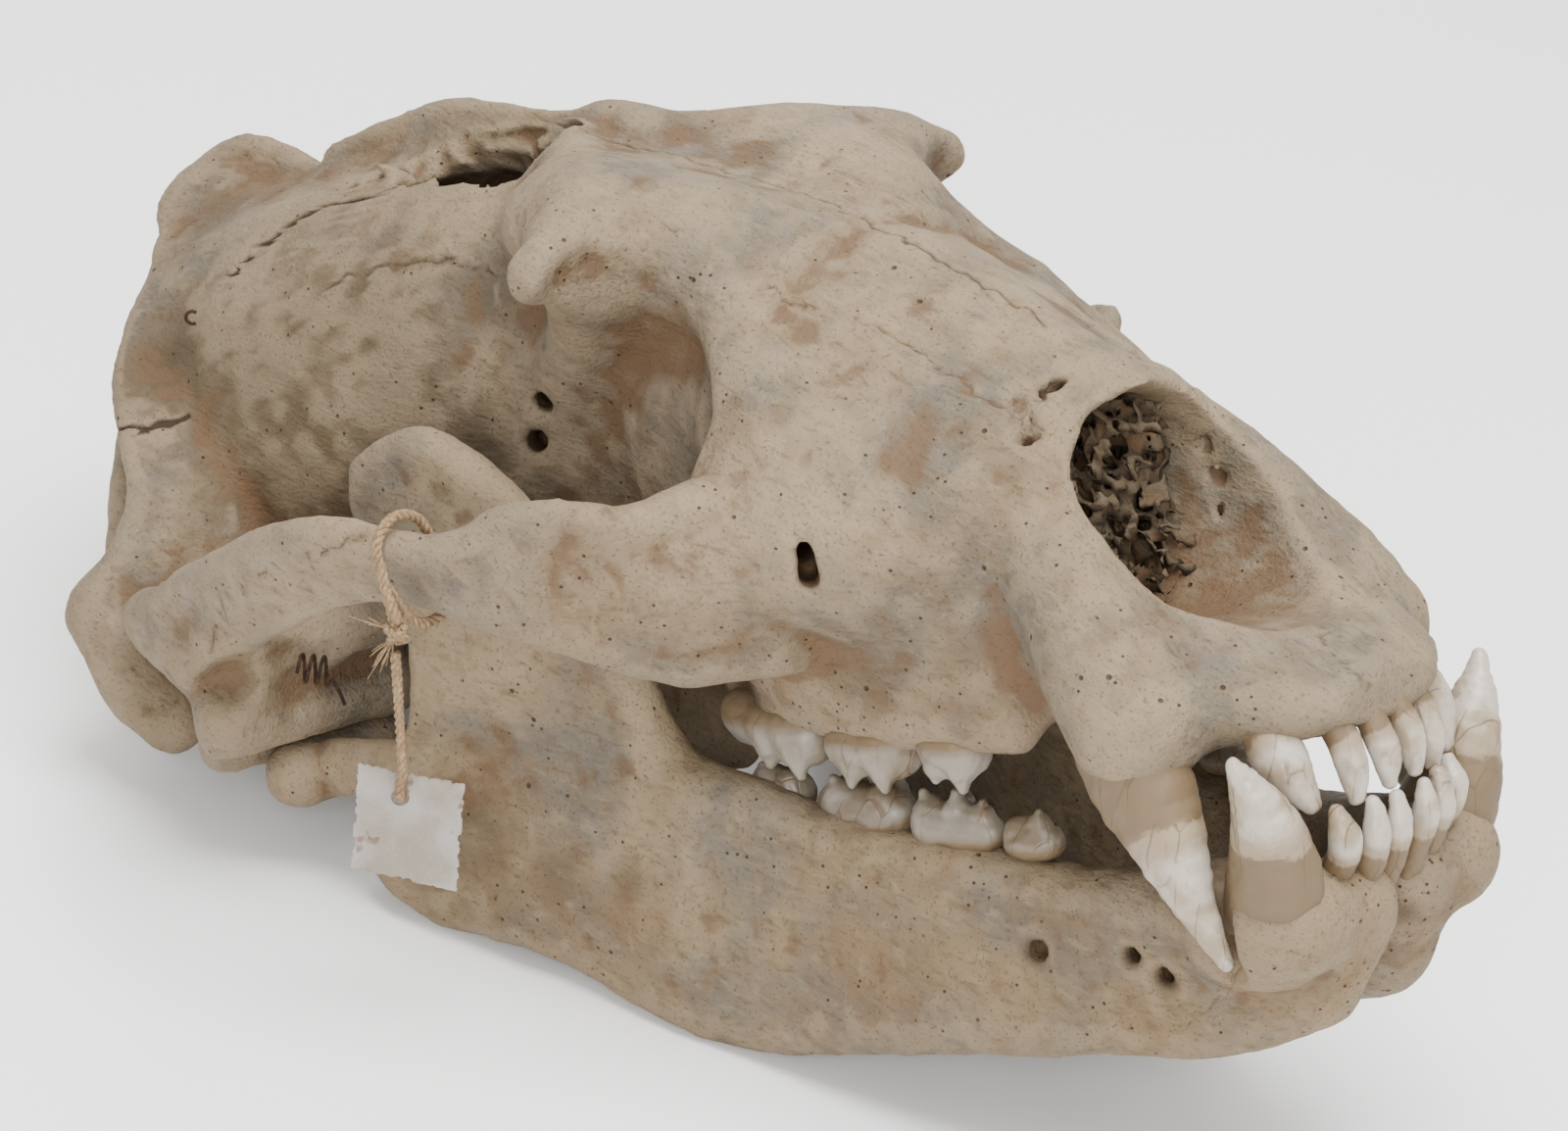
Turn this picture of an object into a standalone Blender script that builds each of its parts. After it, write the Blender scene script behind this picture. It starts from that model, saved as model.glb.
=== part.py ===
"""Skull of a grown brown bear: cranium, two lower jaw bones, thirty teeth and a museum tag on a string.

Shapes are given in the skull's own frame, in millimetres: x runs forward from the back of the
head, y to the animal's left, and z up from the plane of the upper tooth sockets. Each bone is
modelled as clay: rounded masses are pressed together and hollows cut out of them. Then the whole
skull is tipped back until the lower jaw stands on its angles and its lower edge.
"""
import math

import bpy
import numpy as np
import openvdb
from mathutils import Matrix, Vector

MM = 0.001
NOSE_UP = math.radians(20.0)
SKULL_MIDDLE_X = 150.9
FLOOR_BELOW_HINGE = 22.4
HINGE_X = 88.0
HINGE_Z = -7.0
CONDYLE_RADIUS = 7.5
JOINT_GAP = 1.0
SOCKET_GAP = 1.0
FANG_FLATNESS = 1.25
BONE_STEP = 2.0
TOOTH_STEP = 0.7
CRANIUM_FACES = 3200
JAW_FACES = 720
FACES_PER_TOOTH = {"peg": 44, "fang": 160, "cheek": 72}
FAR = 40.0

ARCH_TOP = (166.0, -101.0, 53.3)
ARCH_FOOT = (166.0, -97.3, 44.6)
LOOP_OFFSET = 7.1
STRING_RADIUS = 1.2
KNOT = (168.0, -108.0, 38.0)
TAG_HOLE = (159.3, -107.0, 3.1)
TAG_HEADING = math.radians(41.6)
TAG_CORNERS = ((-9.0, 6.7), (12.8, 4.6), (13.2, -20.3), (-8.9, -17.5))
TAG_THICKNESS = 0.6
TAG_HOLE_RADIUS = 1.9
WIRE_RADIUS = 0.4
SPRING_MIDDLE = (109.5, -83.5, 20.0)
SPRING_RADIUS = 3.0
SPRING_PITCH = 2.3
HOOK_MIDDLE = (48.7, -52.0, 87.8)
HOOK_RADIUS = 1.5
LOOP_FACES = 300
SPRING_FACES = 360
HOOK_FACES = 90
GROUND_SIZE = (0.6, 0.4, 0.1)

BONE_COLOUR = (0.56, 0.47, 0.35)
JAW_COLOUR = (0.55, 0.45, 0.32)
TOOTH_COLOUR = (0.72, 0.66, 0.56)
TAG_COLOUR = (0.62, 0.61, 0.58)
STRING_COLOUR = (0.62, 0.47, 0.30)
WIRE_COLOUR = (0.05, 0.035, 0.03)


def clear_scene():
    for item in list(bpy.data.objects):
        bpy.data.objects.remove(item, do_unlink=True)


def material(name, colour, roughness, metallic=0.0):
    made = bpy.data.materials.new(name)
    made.use_nodes = True
    shader = made.node_tree.nodes["Principled BSDF"]
    shader.inputs["Base Color"].default_value = (*colour, 1.0)
    shader.inputs["Roughness"].default_value = roughness
    shader.inputs["Metallic"].default_value = metallic
    return made


def rest_matrix():
    """From skull millimetres to metres, tipped nose up, with the floor at zero."""
    tip = Matrix.Rotation(-NOSE_UP, 4, "Y")
    hinge = tip @ Vector((HINGE_X, 0.0, HINGE_Z))
    middle = tip @ Vector((SKULL_MIDDLE_X, 0.0, 0.0))
    floor = hinge.z - FLOOR_BELOW_HINGE
    return Matrix.Scale(MM, 4) @ Matrix.Translation((-middle.x, 0.0, -floor)) @ tip


def smooth_path(points, count):
    """Catmull-Rom curve through rows of numbers, sampled evenly."""
    rows = np.array(points, float)
    if len(rows) == 2:
        t = np.linspace(0.0, 1.0, count)[:, None]
        return rows[0] * (1 - t) + rows[1] * t
    rows = np.vstack([2 * rows[0] - rows[1], rows, 2 * rows[-1] - rows[-2]])
    place = np.linspace(0.0, len(rows) - 3 - 1e-9, count)
    start = place.astype(int)
    t = (place - start)[:, None]
    a, b, c, d = (rows[start + k] for k in range(4))
    return 0.5 * (2 * b + (c - a) * t + (2 * a - 5 * b + 4 * c - d) * t**2 + (3 * b - a - 3 * c + d) * t**3)


def smooth_values(stations, x):
    """Each column of the stations, read smoothly at the places x along their first column."""
    table = np.array(stations, float)
    places = table[:, 0]
    x = np.clip(x, places[0], places[-1])
    slot = np.clip(np.searchsorted(places, x) - 1, 0, len(places) - 2)
    slopes = np.gradient(table, places, axis=0)
    width = (places[slot + 1] - places[slot])[:, None]
    t = (x[:, None] - places[slot][:, None]) / width
    near = table[slot] * (1 + 2 * t) * (1 - t) ** 2 + table[slot + 1] * t**2 * (3 - 2 * t)
    return near + width * (slopes[slot] * t * (1 - t) ** 2 - slopes[slot + 1] * t**2 * (1 - t))


def blend_min(a, b, reach):
    if reach <= 0:
        return np.minimum(a, b)
    share = np.clip(0.5 + 0.5 * (b - a) / reach, 0.0, 1.0)
    return b + (a - b) * share - reach * share * (1 - share)


def bone_between(x, y, z, a, b):
    """Distance to a straight limb from a to b, each (x, y, z, radius)."""
    ax, ay, az, ar = a
    run = np.array(b[:3]) - np.array(a[:3])
    length = max(float(run @ run), 1e-9)
    along = ((x - ax) * run[0] + (y - ay) * run[1] + (z - az) * run[2]) / length
    along = np.clip(along, 0.0, 1.0)
    away = (x - ax - along * run[0]) ** 2 + (y - ay - along * run[1]) ** 2 + (z - az - along * run[2]) ** 2
    return np.sqrt(away) - (ar + along * (b[3] - ar))


def ball(centre, radii, turn=(0.0, 0.0, 0.0)):
    """An egg shape; turn is in degrees about x, y and z."""
    centre = np.array(centre, float)
    radii = np.array(radii, float)
    spin = Matrix.Rotation(math.radians(turn[2]), 3, "Z") @ Matrix.Rotation(math.radians(turn[1]), 3, "Y")
    spin = np.array(spin @ Matrix.Rotation(math.radians(turn[0]), 3, "X"))

    def distance(x, y, z):
        gap = (x - centre[0], y - centre[1], z - centre[2])
        local = [sum(spin[i][k] * gap[i] for i in range(3)) for k in range(3)]
        near = np.sqrt(sum((local[k] / radii[k]) ** 2 for k in range(3)))
        steep = np.sqrt(sum((local[k] / radii[k] ** 2) ** 2 for k in range(3)))
        return near * (near - 1) / np.maximum(steep, 1e-6)

    reach = np.full(3, radii.max())
    return distance, centre - reach, centre + reach


def limb(points, count=None):
    """A rounded bar through points (x, y, z, radius)."""
    path = smooth_path(points, count or 4 * len(points))

    def distance(x, y, z):
        found = bone_between(x, y, z, path[0], path[1])
        for a, b in zip(path[1:-1], path[2:]):
            found = np.minimum(found, bone_between(x, y, z, a, b))
        return found

    return distance, (path[:, :3] - path[:, 3:]).min(axis=0), (path[:, :3] + path[:, 3:]).max(axis=0)


def facet(x, y, z, corners):
    """Distance to a thick triangle whose corners are (x, y, z, half thickness)."""
    a, b, c = (np.array(corner[:3]) for corner in corners)
    found = np.minimum(bone_between(x, y, z, corners[0], corners[1]), bone_between(x, y, z, corners[1], corners[2]))
    found = np.minimum(found, bone_between(x, y, z, corners[2], corners[0]))
    ab = b - a
    ac = c - a
    normal = np.cross(ab, ac)
    area = float(normal @ normal)
    if area < 1e-6:
        return found
    gap = (x - a[0], y - a[1], z - a[2])
    to_b = np.cross(ac, normal) / area
    to_c = np.cross(normal, ab) / area
    share_b = sum(gap[k] * to_b[k] for k in range(3))
    share_c = sum(gap[k] * to_c[k] for k in range(3))
    inside = (share_b >= 0) & (share_c >= 0) & (share_b + share_c <= 1)
    off = sum(gap[k] * normal[k] for k in range(3)) / math.sqrt(area)
    thick = corners[0][3] + share_b * (corners[1][3] - corners[0][3]) + share_c * (corners[2][3] - corners[0][3])
    return np.where(inside, np.abs(off) - thick, found)


def plate(edge, other, count=None):
    """A thin plate ruled between two edges of points (x, y, z, half thickness)."""
    count = count or 2 * max(len(edge), len(other))
    one = smooth_path(edge, count)
    two = smooth_path(other, count)

    def distance(x, y, z):
        found = None
        for k in range(count - 1):
            for corners in ((one[k], one[k + 1], two[k]), (one[k + 1], two[k + 1], two[k])):
                piece = facet(x, y, z, corners)
                found = piece if found is None else np.minimum(found, piece)
        return found

    rows = np.vstack([one, two])
    return distance, (rows[:, :3] - rows[:, 3:]).min(axis=0), (rows[:, :3] + rows[:, 3:]).max(axis=0)


def hull(stations):
    """A long body from sections (x, half width, height of the widest line, top, bottom, squareness)."""
    rows = np.array(stations, float)
    low = np.array([rows[0, 0], -rows[:, 1].max(), rows[:, 4].min()])
    high = np.array([rows[-1, 0], rows[:, 1].max(), rows[:, 3].max()])

    def distance(x, y, z):
        sections = smooth_values(stations, x.ravel())[:, :, None, None]
        wide, level, top, bottom, power = (sections[:, k] for k in range(1, 6))
        rise = np.where(z > level, top - level, level - bottom)
        size = (np.abs(y) / wide) ** power + (np.abs(z - level) / rise) ** power
        near = np.maximum(size, 1e-6) ** (1 / power)
        steps = [float(np.diff(axis.ravel()).mean()) for axis in (x, y, z)]
        slopes = np.gradient(near, *steps)
        steep = np.sqrt(sum(slope**2 for slope in slopes))
        found = (near - 1) / np.maximum(steep, 0.2 / wide)
        return np.maximum(found, np.maximum(rows[0, 0] - x, x - rows[-1, 0]))

    return distance, low, high


def both_sides(shape):
    """The same shape on the right side, where y is negative, and mirrored on the left."""
    distance, low, high = shape
    reach = max(abs(low[1]), abs(high[1]))
    low = np.array([low[0], -reach, low[2]])
    high = np.array([high[0], reach, high[2]])
    return (lambda x, y, z: distance(x, -np.abs(y), z)), low, high


class Clay:
    """A block of clay: the distance to the surface at each point of an even grid."""

    def __init__(self, low, high, step):
        self.low = np.array(low, float)
        self.step = step
        count = np.ceil((np.array(high, float) - self.low) / step).astype(int) + 1
        self.field = np.full(count, FAR, np.float32)

    def window(self, low, high):
        first = np.maximum(np.floor((low - self.low) / self.step).astype(int), 0)
        last = np.minimum(np.ceil((high - self.low) / self.step).astype(int) + 1, self.field.shape)
        spans = tuple(slice(a, b) for a, b in zip(first, last))
        axes = [self.low[k] + self.step * np.arange(first[k], last[k]) for k in range(3)]
        return spans, np.meshgrid(*axes, indexing="ij", sparse=True)

    def add(self, shape, blend=0.0):
        distance, low, high = shape
        margin = blend + 3 * self.step
        spans, axes = self.window(low - margin, high + margin)
        self.field[spans] = blend_min(self.field[spans], distance(*axes), blend)

    def cut(self, shape, blend=0.0):
        distance, low, high = shape
        margin = blend + 3 * self.step
        spans, axes = self.window(low - margin, high + margin)
        self.field[spans] = -blend_min(-self.field[spans], distance(*axes), blend)

    def keep(self, distance):
        _, axes = self.window(self.low, self.low + self.step * np.array(self.field.shape))
        self.field = np.maximum(self.field, distance(*axes)).astype(np.float32)

    def surface(self, offset=0.0):
        """Points in millimetres and the quads and triangles of the surface."""
        grid = openvdb.FloatGrid(3.0)
        grid.copyFromArray(np.clip(self.field / self.step, -3, 3))
        points, triangles, quads = grid.convertToPolygons(isovalue=offset / self.step, adaptivity=0.0)
        return points * self.step + self.low, [*quads.tolist(), *triangles.tolist()]


def largest_body(points, faces):
    """Drops loose crumbs: only the largest connected surface stays."""
    label = np.arange(len(points))
    quads = np.array([(*face, face[-1])[:4] for face in faces])
    while True:
        lowest = label[quads].min(axis=1)
        fresh = label.copy()
        for column in range(4):
            np.minimum.at(fresh, quads[:, column], lowest)
        fresh = fresh[fresh]
        if (fresh == label).all():
            break
        label = fresh
    values, sizes = np.unique(label[quads[:, 0]], return_counts=True)
    kept = quads[label[quads[:, 0]] == values[sizes.argmax()]]
    used, numbers = np.unique(kept, return_inverse=True)
    numbers = numbers.reshape(kept.shape)
    return points[used], [list(dict.fromkeys(row)) for row in numbers.tolist()]


def solid(name, points, faces, finish, target=None, rounds=0):
    """A mesh object in the rest pose, thinned to the target number of triangles."""
    place = np.array(rest_matrix())
    mesh = bpy.data.meshes.new(name)
    mesh.from_pydata((points @ place[:3, :3].T + place[:3, 3]).tolist(), [], faces)
    mesh.materials.append(finish)
    made = bpy.data.objects.new(name, mesh)
    bpy.context.scene.collection.objects.link(made)
    if rounds:
        relax = made.modifiers.new("relax", "SMOOTH")
        relax.factor = 0.5
        relax.iterations = rounds
    if target:
        triangles = sum(len(face) - 2 for face in faces)
        thin = made.modifiers.new("thin", "DECIMATE")
        thin.ratio = min(1.0, target / triangles)
        thin.use_collapse_triangulate = True
    mesh.shade_smooth()
    return made


def braincase(clay):
    clay.add(hull([
        (2, 30, 62, 98, 22, 2.2),
        (14, 45, 60, 103, 16, 2.3),
        (32, 53, 58, 108, 13, 2.3),
        (60, 56, 60, 112, 12, 2.3),
        (85, 54, 63, 115, 12, 2.2),
        (108, 48, 66, 117, 14, 2.2),
        (128, 39, 68, 116, 18, 2.3),
        (148, 33, 70, 114, 22, 2.5),
        (175, 32, 66, 110, 18, 2.7),
        (205, 34, 60, 98, 8, 2.8),
    ]))


def muzzle(clay):
    clay.add(hull([
        (165, 30, 40, 100, 6, 2.6),
        (185, 35, 36, 104, 2, 2.6),
        (205, 42, 36, 98, 0, 2.6),
        (225, 43, 34, 89, -1, 2.5),
        (245, 39, 30, 79, -1, 2.4),
        (262, 36, 24, 71, -1, 2.4),
        (272, 36, 19, 66, -1, 2.4),
        (279, 36, 16, 52, -1, 2.5),
        (287, 36, 14, 37, -1, 2.6),
        (300, 34.5, 11, 27, -1, 2.6),
        (312, 30, 9, 20, -1, 2.5),
        (322, 24, 8, 15, 0, 2.3),
        (329, 15, 7, 11, 2, 2.2),
    ]), 8)
    clay.add(both_sides(limb([(295, -36, 8, 13.5), (288, -34, 18, 13), (274, -30, 37, 10), (256, -27, 50, 7)])), 8)
    clay.add(limb([(215, 0, 84, 12), (240, 0, 74, 11), (262, 0, 64, 8), (276, 0, 60, 5)]), 8)
    clay.add(both_sides(plate(
        [(186, -36, 9, 5), (210, -38, 6.5, 6), (235, -38, 5, 6), (262, -35, 5, 6)],
        [(186, -36, 14, 5), (210, -40, 14, 6), (235, -38, 13, 6), (256, -34, 13, 6)],
    )), 7)
    clay.cut(ball((238, 0, -7), (78, 25, 13)), 5)


def brow(clay):
    """Frontal domes and the hooked processes behind the eyes."""
    clay.add(both_sides(ball((168, -24, 100), (34, 23, 16), (0, 12, 12))), 12)
    clay.add(both_sides(limb([(158, -30, 105, 9), (168, -42, 104, 9.5), (175, -53, 102, 8.5), (174, -62, 99, 6)])), 8)
    clay.add(both_sides(limb([(178, -46, 100, 7), (190, -39, 95, 7), (202, -35, 86, 8), (212, -36, 75, 8)])), 8)
    clay.add(both_sides(limb([(168, -38, 104, 6), (148, -22, 110, 6), (128, -6, 117, 6)])), 8)
    clay.cut(ball((180, 0, 122), (34, 17, 14), (0, 10, 0)), 8)


def cheekbone(clay):
    """The zygomatic arch with its root on the upper jaw and its root over the jaw joint."""
    clay.add(both_sides(limb([(244, -32, 36, 18), (228, -42, 42, 18), (213, -50, 42, 16), (202, -62, 38, 12)])), 12)
    clay.add(both_sides(ball((214, -33, 57), (24, 22, 20), (0, 20, -20))), 10)
    clay.add(both_sides(plate(
        [(211, -63, 54, 5.5), (199, -75, 52, 5), (190, -84, 59, 4.5), (178, -95, 53, 4.5), (165, -101, 53, 4.5),
         (149, -103, 56, 4.5), (135, -104, 54.5, 4.5), (120, -102.5, 51, 4.5), (104, -100, 45, 4.5),
         (88, -96, 40, 5), (72, -91, 33, 5), (58, -86, 30, 5)],
        [(214, -50, 24, 8), (201, -63, 23, 6), (191, -78, 30, 5), (178, -91, 39, 4.5), (165, -97, 44.5, 4),
         (149, -99, 45, 4), (135, -99.5, 42, 4), (120, -99, 36, 4), (104, -97, 27, 4),
         (90, -92, 16, 5), (76, -84, 14, 5), (64, -76, 16, 5)],
        24,
    )), 5)
    clay.add(both_sides(limb([(191, -84, 58, 5), (188, -84, 65, 3.5)])), 4)
    clay.add(both_sides(plate(
        [(100, -94, 28, 5), (92, -94, 22, 6), (80, -92, 24, 6), (64, -86, 27, 6)],
        [(104, -44, 24, 7), (94, -46, 24, 8), (76, -46, 26, 9), (58, -48, 30, 9)],
    )), 8)
    clay.add(both_sides(plate(
        [(HINGE_X + 2, -92, 10, 7), (HINGE_X + 2, -50, 6, 8)],
        [(HINGE_X - 7, -88, 2, 6), (HINGE_X - 8, -52, -3, 7)],
    )), 8)


def jaw_joint(clay):
    """The trough that each condyle turns in, open below and in front."""
    clay.cut(both_sides(limb([
        (HINGE_X, -48, HINGE_Z, CONDYLE_RADIUS + JOINT_GAP),
        (HINGE_X, -95, HINGE_Z, CONDYLE_RADIUS + JOINT_GAP),
    ])), 1)
    clay.cut(both_sides(plate(
        [(HINGE_X + 4, -48, HINGE_Z, 7), (HINGE_X + 4, -96, HINGE_Z, 7)],
        [(HINGE_X + 14, -48, HINGE_Z - 14, 12), (HINGE_X + 14, -96, HINGE_Z - 14, 12)],
    )), 2)


def back_of_head(clay):
    """The nuchal wings, the mastoid processes and the joint with the neck."""
    clay.add(both_sides(plate(
        [(9, 0, 114, 3.5), (2, -9, 110, 3.2), (3, -20, 102, 3), (16, -33, 93, 3), (22, -47, 84, 3),
         (27, -57, 75, 3), (38, -66, 65, 3.2), (45, -71, 55, 3.5), (46, -77, 42, 4.5), (39, -84, 30, 6)],
        [(40, 0, 102, 5), (37, -12, 100, 5), (34, -22, 97, 5), (36, -32, 91, 5), (40, -42, 80, 5),
         (44, -48, 70, 6), (50, -52, 60, 6), (54, -56, 48, 7), (56, -60, 38, 8), (56, -66, 28, 9)],
        26,
    )), 5)
    clay.add(both_sides(limb([(39, -83, 27, 7.5), (45, -82, 13, 8), (52, -79, 4, 8)])), 7)
    clay.add(both_sides(plate(
        [(20, -50, 60, 5), (30, -66, 42, 5), (38, -74, 22, 6)],
        [(18, -30, 40, 6), (22, -45, 22, 6), (30, -55, 8, 6)],
    )), 8)
    clay.add(both_sides(limb([(22, -40, 24, 8), (24, -50, 6, 6), (27, -52, -2, 4.5)])), 7)
    clay.add(both_sides(ball((6, -18, 27), (10, 11, 13), (0, 25, 0))), 5)
    clay.cut(both_sides(ball((-6, -24, 78), (20, 17, 26))), 6)
    clay.cut(ball((4, 0, 42), (22, 15, 12)), 3)


def crest(clay):
    """The sagittal crest: a nuchal lobe, a narrow gap and the long blade in front of it."""
    clay.add(plate(
        [(4, 0, 113, 3.2), (16, 0, 116, 3.2), (30, 0, 112, 3.2), (37, 0, 106, 3.2)],
        [(10, 0, 100, 6), (20, 0, 101, 6), (30, 0, 101, 6), (38, 0, 100, 6)],
    ), 5)
    clay.add(plate(
        [(44, 0, 114, 2.6), (56, 0, 117.5, 2.8), (72, 1, 120.5, 3), (86, 2, 123, 3.2), (104, 4, 121.5, 3.5),
         (122, 6, 119, 4), (138, 6, 116, 6)],
        [(47, 0, 104, 6), (56, 0, 104, 7), (72, 0, 106, 8), (86, 0, 108, 9), (104, 2, 108, 10),
         (122, 4, 108, 10), (138, 4, 106, 10)],
    ), 6)
    clay.cut(limb([(41, -6, 122, 2), (41, 6, 104, 1.6)]), 1)
    clay.cut(both_sides(ball((100, -14, 124), (34, 9, 8), (-35, 0, 0))), 5)


def top_hole(clay):
    """The break beside the crest, open into the hollow braincase."""
    clay.cut(ball((106, -12, 112), (18, 10, 13), (0, -3, 8)), 1.5)
    clay.cut(ball((122, -6, 117), (10, 5, 7)), 1.5)
    clay.cut(ball((100, -10, 96), (24, 20, 16)), 2)


def brain_hollow(clay):
    """The hollow that held the brain, open at the neck and through the break on top."""
    clay.cut(both_sides(ball((66, -13, 68), (47, 32, 38))), 4)
    clay.cut(limb([(8, 0, 42, 11.5), (30, 0, 48, 12), (50, 0, 58, 14)]), 3)


def underside(clay):
    """The pterygoid plates, the hollow behind the palate and the flat ear capsules."""
    clay.add(both_sides(plate(
        [(182, -17, 10, 4), (160, -15, 2, 3), (138, -15, 1, 3), (120, -16, 4, 3)],
        [(182, -22, 24, 6), (160, -18, 22, 5), (138, -18, 22, 5), (120, -20, 20, 6)],
    )), 6)
    clay.add(both_sides(ball((72, -36, 14), (16, 14, 8), (0, 0, 20))), 6)
    clay.cut(ball((150, 0, 9), (42, 11, 9)), 4)


def eye_sockets(clay):
    """The orbits, open behind, and the hollow between each cheekbone and the tooth row."""
    clay.cut(both_sides(ball((182, -60, 75), (29, 29, 20), (0, 0, 0))), 2)
    clay.cut(both_sides(ball((200, -46, 70), (11, 13, 15))), 3)
    clay.cut(both_sides(ball((150, -66, 62), (36, 30, 34))), 6)
    clay.cut(both_sides(ball((166, -60, 18), (28, 24, 26))), 8)
    clay.cut(both_sides(ball((186, -52, 8), (13, 16, 12))), 4)


def nose(clay):
    """The nasal opening, its hollow and the scrolled bone inside."""
    clay.cut(hull([
        (212, 11, 44, 60, 26, 2.0),
        (235, 17, 43, 64, 22, 2.1),
        (255, 20, 42, 63, 19, 2.2),
        (268, 22, 41, 61, 18, 2.2),
        (276, 22.5, 41, 60, 18, 2.2),
        (290, 22, 42, 62, 18.5, 2.3),
        (305, 21, 42, 62, 19, 2.3),
        (330, 20, 42, 62, 18, 2.3),
    ]), 2)
    clay.add(both_sides(plate(
        [(206, -9, 30, 4), (226, -9, 28, 4), (244, -10, 27, 3.5), (256, -10, 28, 3)],
        [(206, -9, 54, 4), (226, -9, 55, 4), (244, -10, 54, 3.5), (253, -10, 53, 3)],
    )), 3)
    clay.add(plate(
        [(206, 0, 20, 2), (240, 0, 17, 2), (268, 0, 16, 1.6)],
        [(206, 0, 66, 2), (236, 0, 68, 2), (252, 0, 64, 1.6)],
    ), 2)


def foramina(clay):
    clay.cut(both_sides(limb([(240, -66, 41, 3.2), (226, -50, 43, 3.2), (214, -40, 44, 3)])), 1)
    clay.cut(both_sides(limb([(141, -36, 67, 2.4), (132, -24, 67, 2.2)])), 1)
    clay.cut(both_sides(limb([(138, -38, 59, 3.0), (128, -24, 57, 2.6)])), 1)


def cranium():
    clay = Clay((-14, -118, -16), (338, 118, 136), BONE_STEP)
    braincase(clay)
    muzzle(clay)
    brow(clay)
    cheekbone(clay)
    eye_sockets(clay)
    back_of_head(clay)
    crest(clay)
    underside(clay)
    top_hole(clay)
    brain_hollow(clay)
    jaw_joint(clay)
    nose(clay)
    foramina(clay)
    return clay


def jaw_bone():
    """The right half of the lower jaw."""
    clay = Clay((76, -104, -76), (338, 4, 80), BONE_STEP)
    clay.add(plate(
        [(118, -65, -38, 4), (136, -62, -40, 5), (154, -55, -46, 7), (171, -51, -54, 8), (185, -46.5, -58.5, 8.5),
         (210, -42, -58.5, 8.5), (241, -36, -57, 8.5), (272, -28, -56, 8.5), (294, -19, -56, 9), (310, -11, -50, 10)],
        [(122, -65, -20, 4), (140, -60, -16, 5), (160, -55, -12, 5), (178, -50, -10, 6), (196, -44, -16, 7),
         (216, -39, -24, 7), (241, -34, -28, 7), (266, -30, -32, 7), (290, -25, -33, 8.5), (306, -20, -33, 9)],
        26,
    ), 3)
    clay.add(limb([(298, -21, -36, 11), (311, -23.5, -33, 11), (320, -19, -30, 10)]), 5)
    clay.add(limb([(298, -14, -49, 10), (313, -10.5, -42, 11), (320, -9, -34, 9.5)]), 5)
    clay.add(plate(
        [(186, -49, -10, 5.5), (183, -51, 6, 4.5), (172, -56, 28, 4), (156, -61, 48, 3.5), (144, -64, 60, 3.5),
         (134, -66, 65, 3.2), (126, -68, 64, 3)],
        [(118, -68, -10, 4), (122, -68, 2, 3.2), (126, -68, 16, 3), (126, -68, 28, 3), (122, -69, 42, 3),
         (118, -70, 52, 3), (119, -69.5, 60, 3)],
        22,
    ), 4)
    clay.add(plate(
        [(186, -50, -12, 5), (170, -54, -18, 4), (150, -60, -16, 4), (124, -67, -14, 4)],
        [(178, -52, -44, 6), (160, -55, -40, 5), (140, -60, -34, 4.5), (114, -67, -30, 4)],
    ), 4)
    clay.add(limb([(194, -45, -16, 7), (189, -48, -2, 6), (181, -53, 16, 5), (166, -58, 38, 4.2),
                   (151, -63, 55, 3.8), (136, -66.5, 65, 3.2)]), 4)
    clay.add(limb([(138, -64, -6, 4.5), (120, -68, -5, 5), (104, -69, -6, 6), (94, -69, -7, 6.5)]), 5)
    clay.add(limb([(HINGE_X, -52, HINGE_Z, CONDYLE_RADIUS), (HINGE_X, -75, HINGE_Z, CONDYLE_RADIUS)]), 1)
    clay.add(limb([(130, -63, -34, 5), (119, -66, -34, 5), (110, -69, -31, 4.5), (106, -70, -26, 3.5)]), 5)
    clay.cut(ball((150, -78, -4), (24, 14, 20), (0, -20, -14)), 4)
    clay.cut(limb([(299, -40, -8, 10.8), (305, -38.5, -24, 7.6), (309.5, -36, -43, 4.2)]), 2)
    clay.cut(limb([(264, -52, -41, 2.2), (262, -34, -41, 2.0)]), 0.6)
    clay.cut(limb([(285, -48, -41, 2.0), (283, -28, -41, 1.8)]), 0.6)
    clay.cut(limb([(292, -46, -46, 2.2), (289, -27, -45, 2.0)]), 0.6)
    clay.keep(lambda x, y, z: y + 0.5 + 0 * x + 0 * z)
    return clay


def crown_clay(low, high):
    return Clay(np.array(low) - 4, np.array(high) + 4, TOOTH_STEP)


def canine(points, flat=1.0):
    """A curved peg, its sides pressed flat by the given factor."""
    rows = np.array(points, float)
    middle = float(rows[:, 1].mean())
    rows[:, 1] = middle + (rows[:, 1] - middle) * flat
    distance, low, high = limb(rows, 14)
    clay = crown_clay(low, high)
    clay.add(((lambda x, y, z: distance(x, middle + (y - middle) * flat, z) / flat**0.5), low, high))
    return clay


def cheek_tooth(cusps, waist):
    """A row of cusps on a broad waist, with the root's stump in the bone."""
    rows = np.array([*cusps, *waist], float)
    clay = crown_clay((rows[:, :3] - rows[:, 3:]).min(axis=0), (rows[:, :3] + rows[:, 3:]).max(axis=0))
    clay.add(limb(waist, 8))
    middle = np.array(waist, float).mean(axis=0)
    for x, y, z, radius in cusps:
        clay.add(limb([(x, y * 0.6 + middle[1] * 0.4, middle[2], radius + 1.2), (x, y, z, radius)], 3), 2.5)
    return clay


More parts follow.
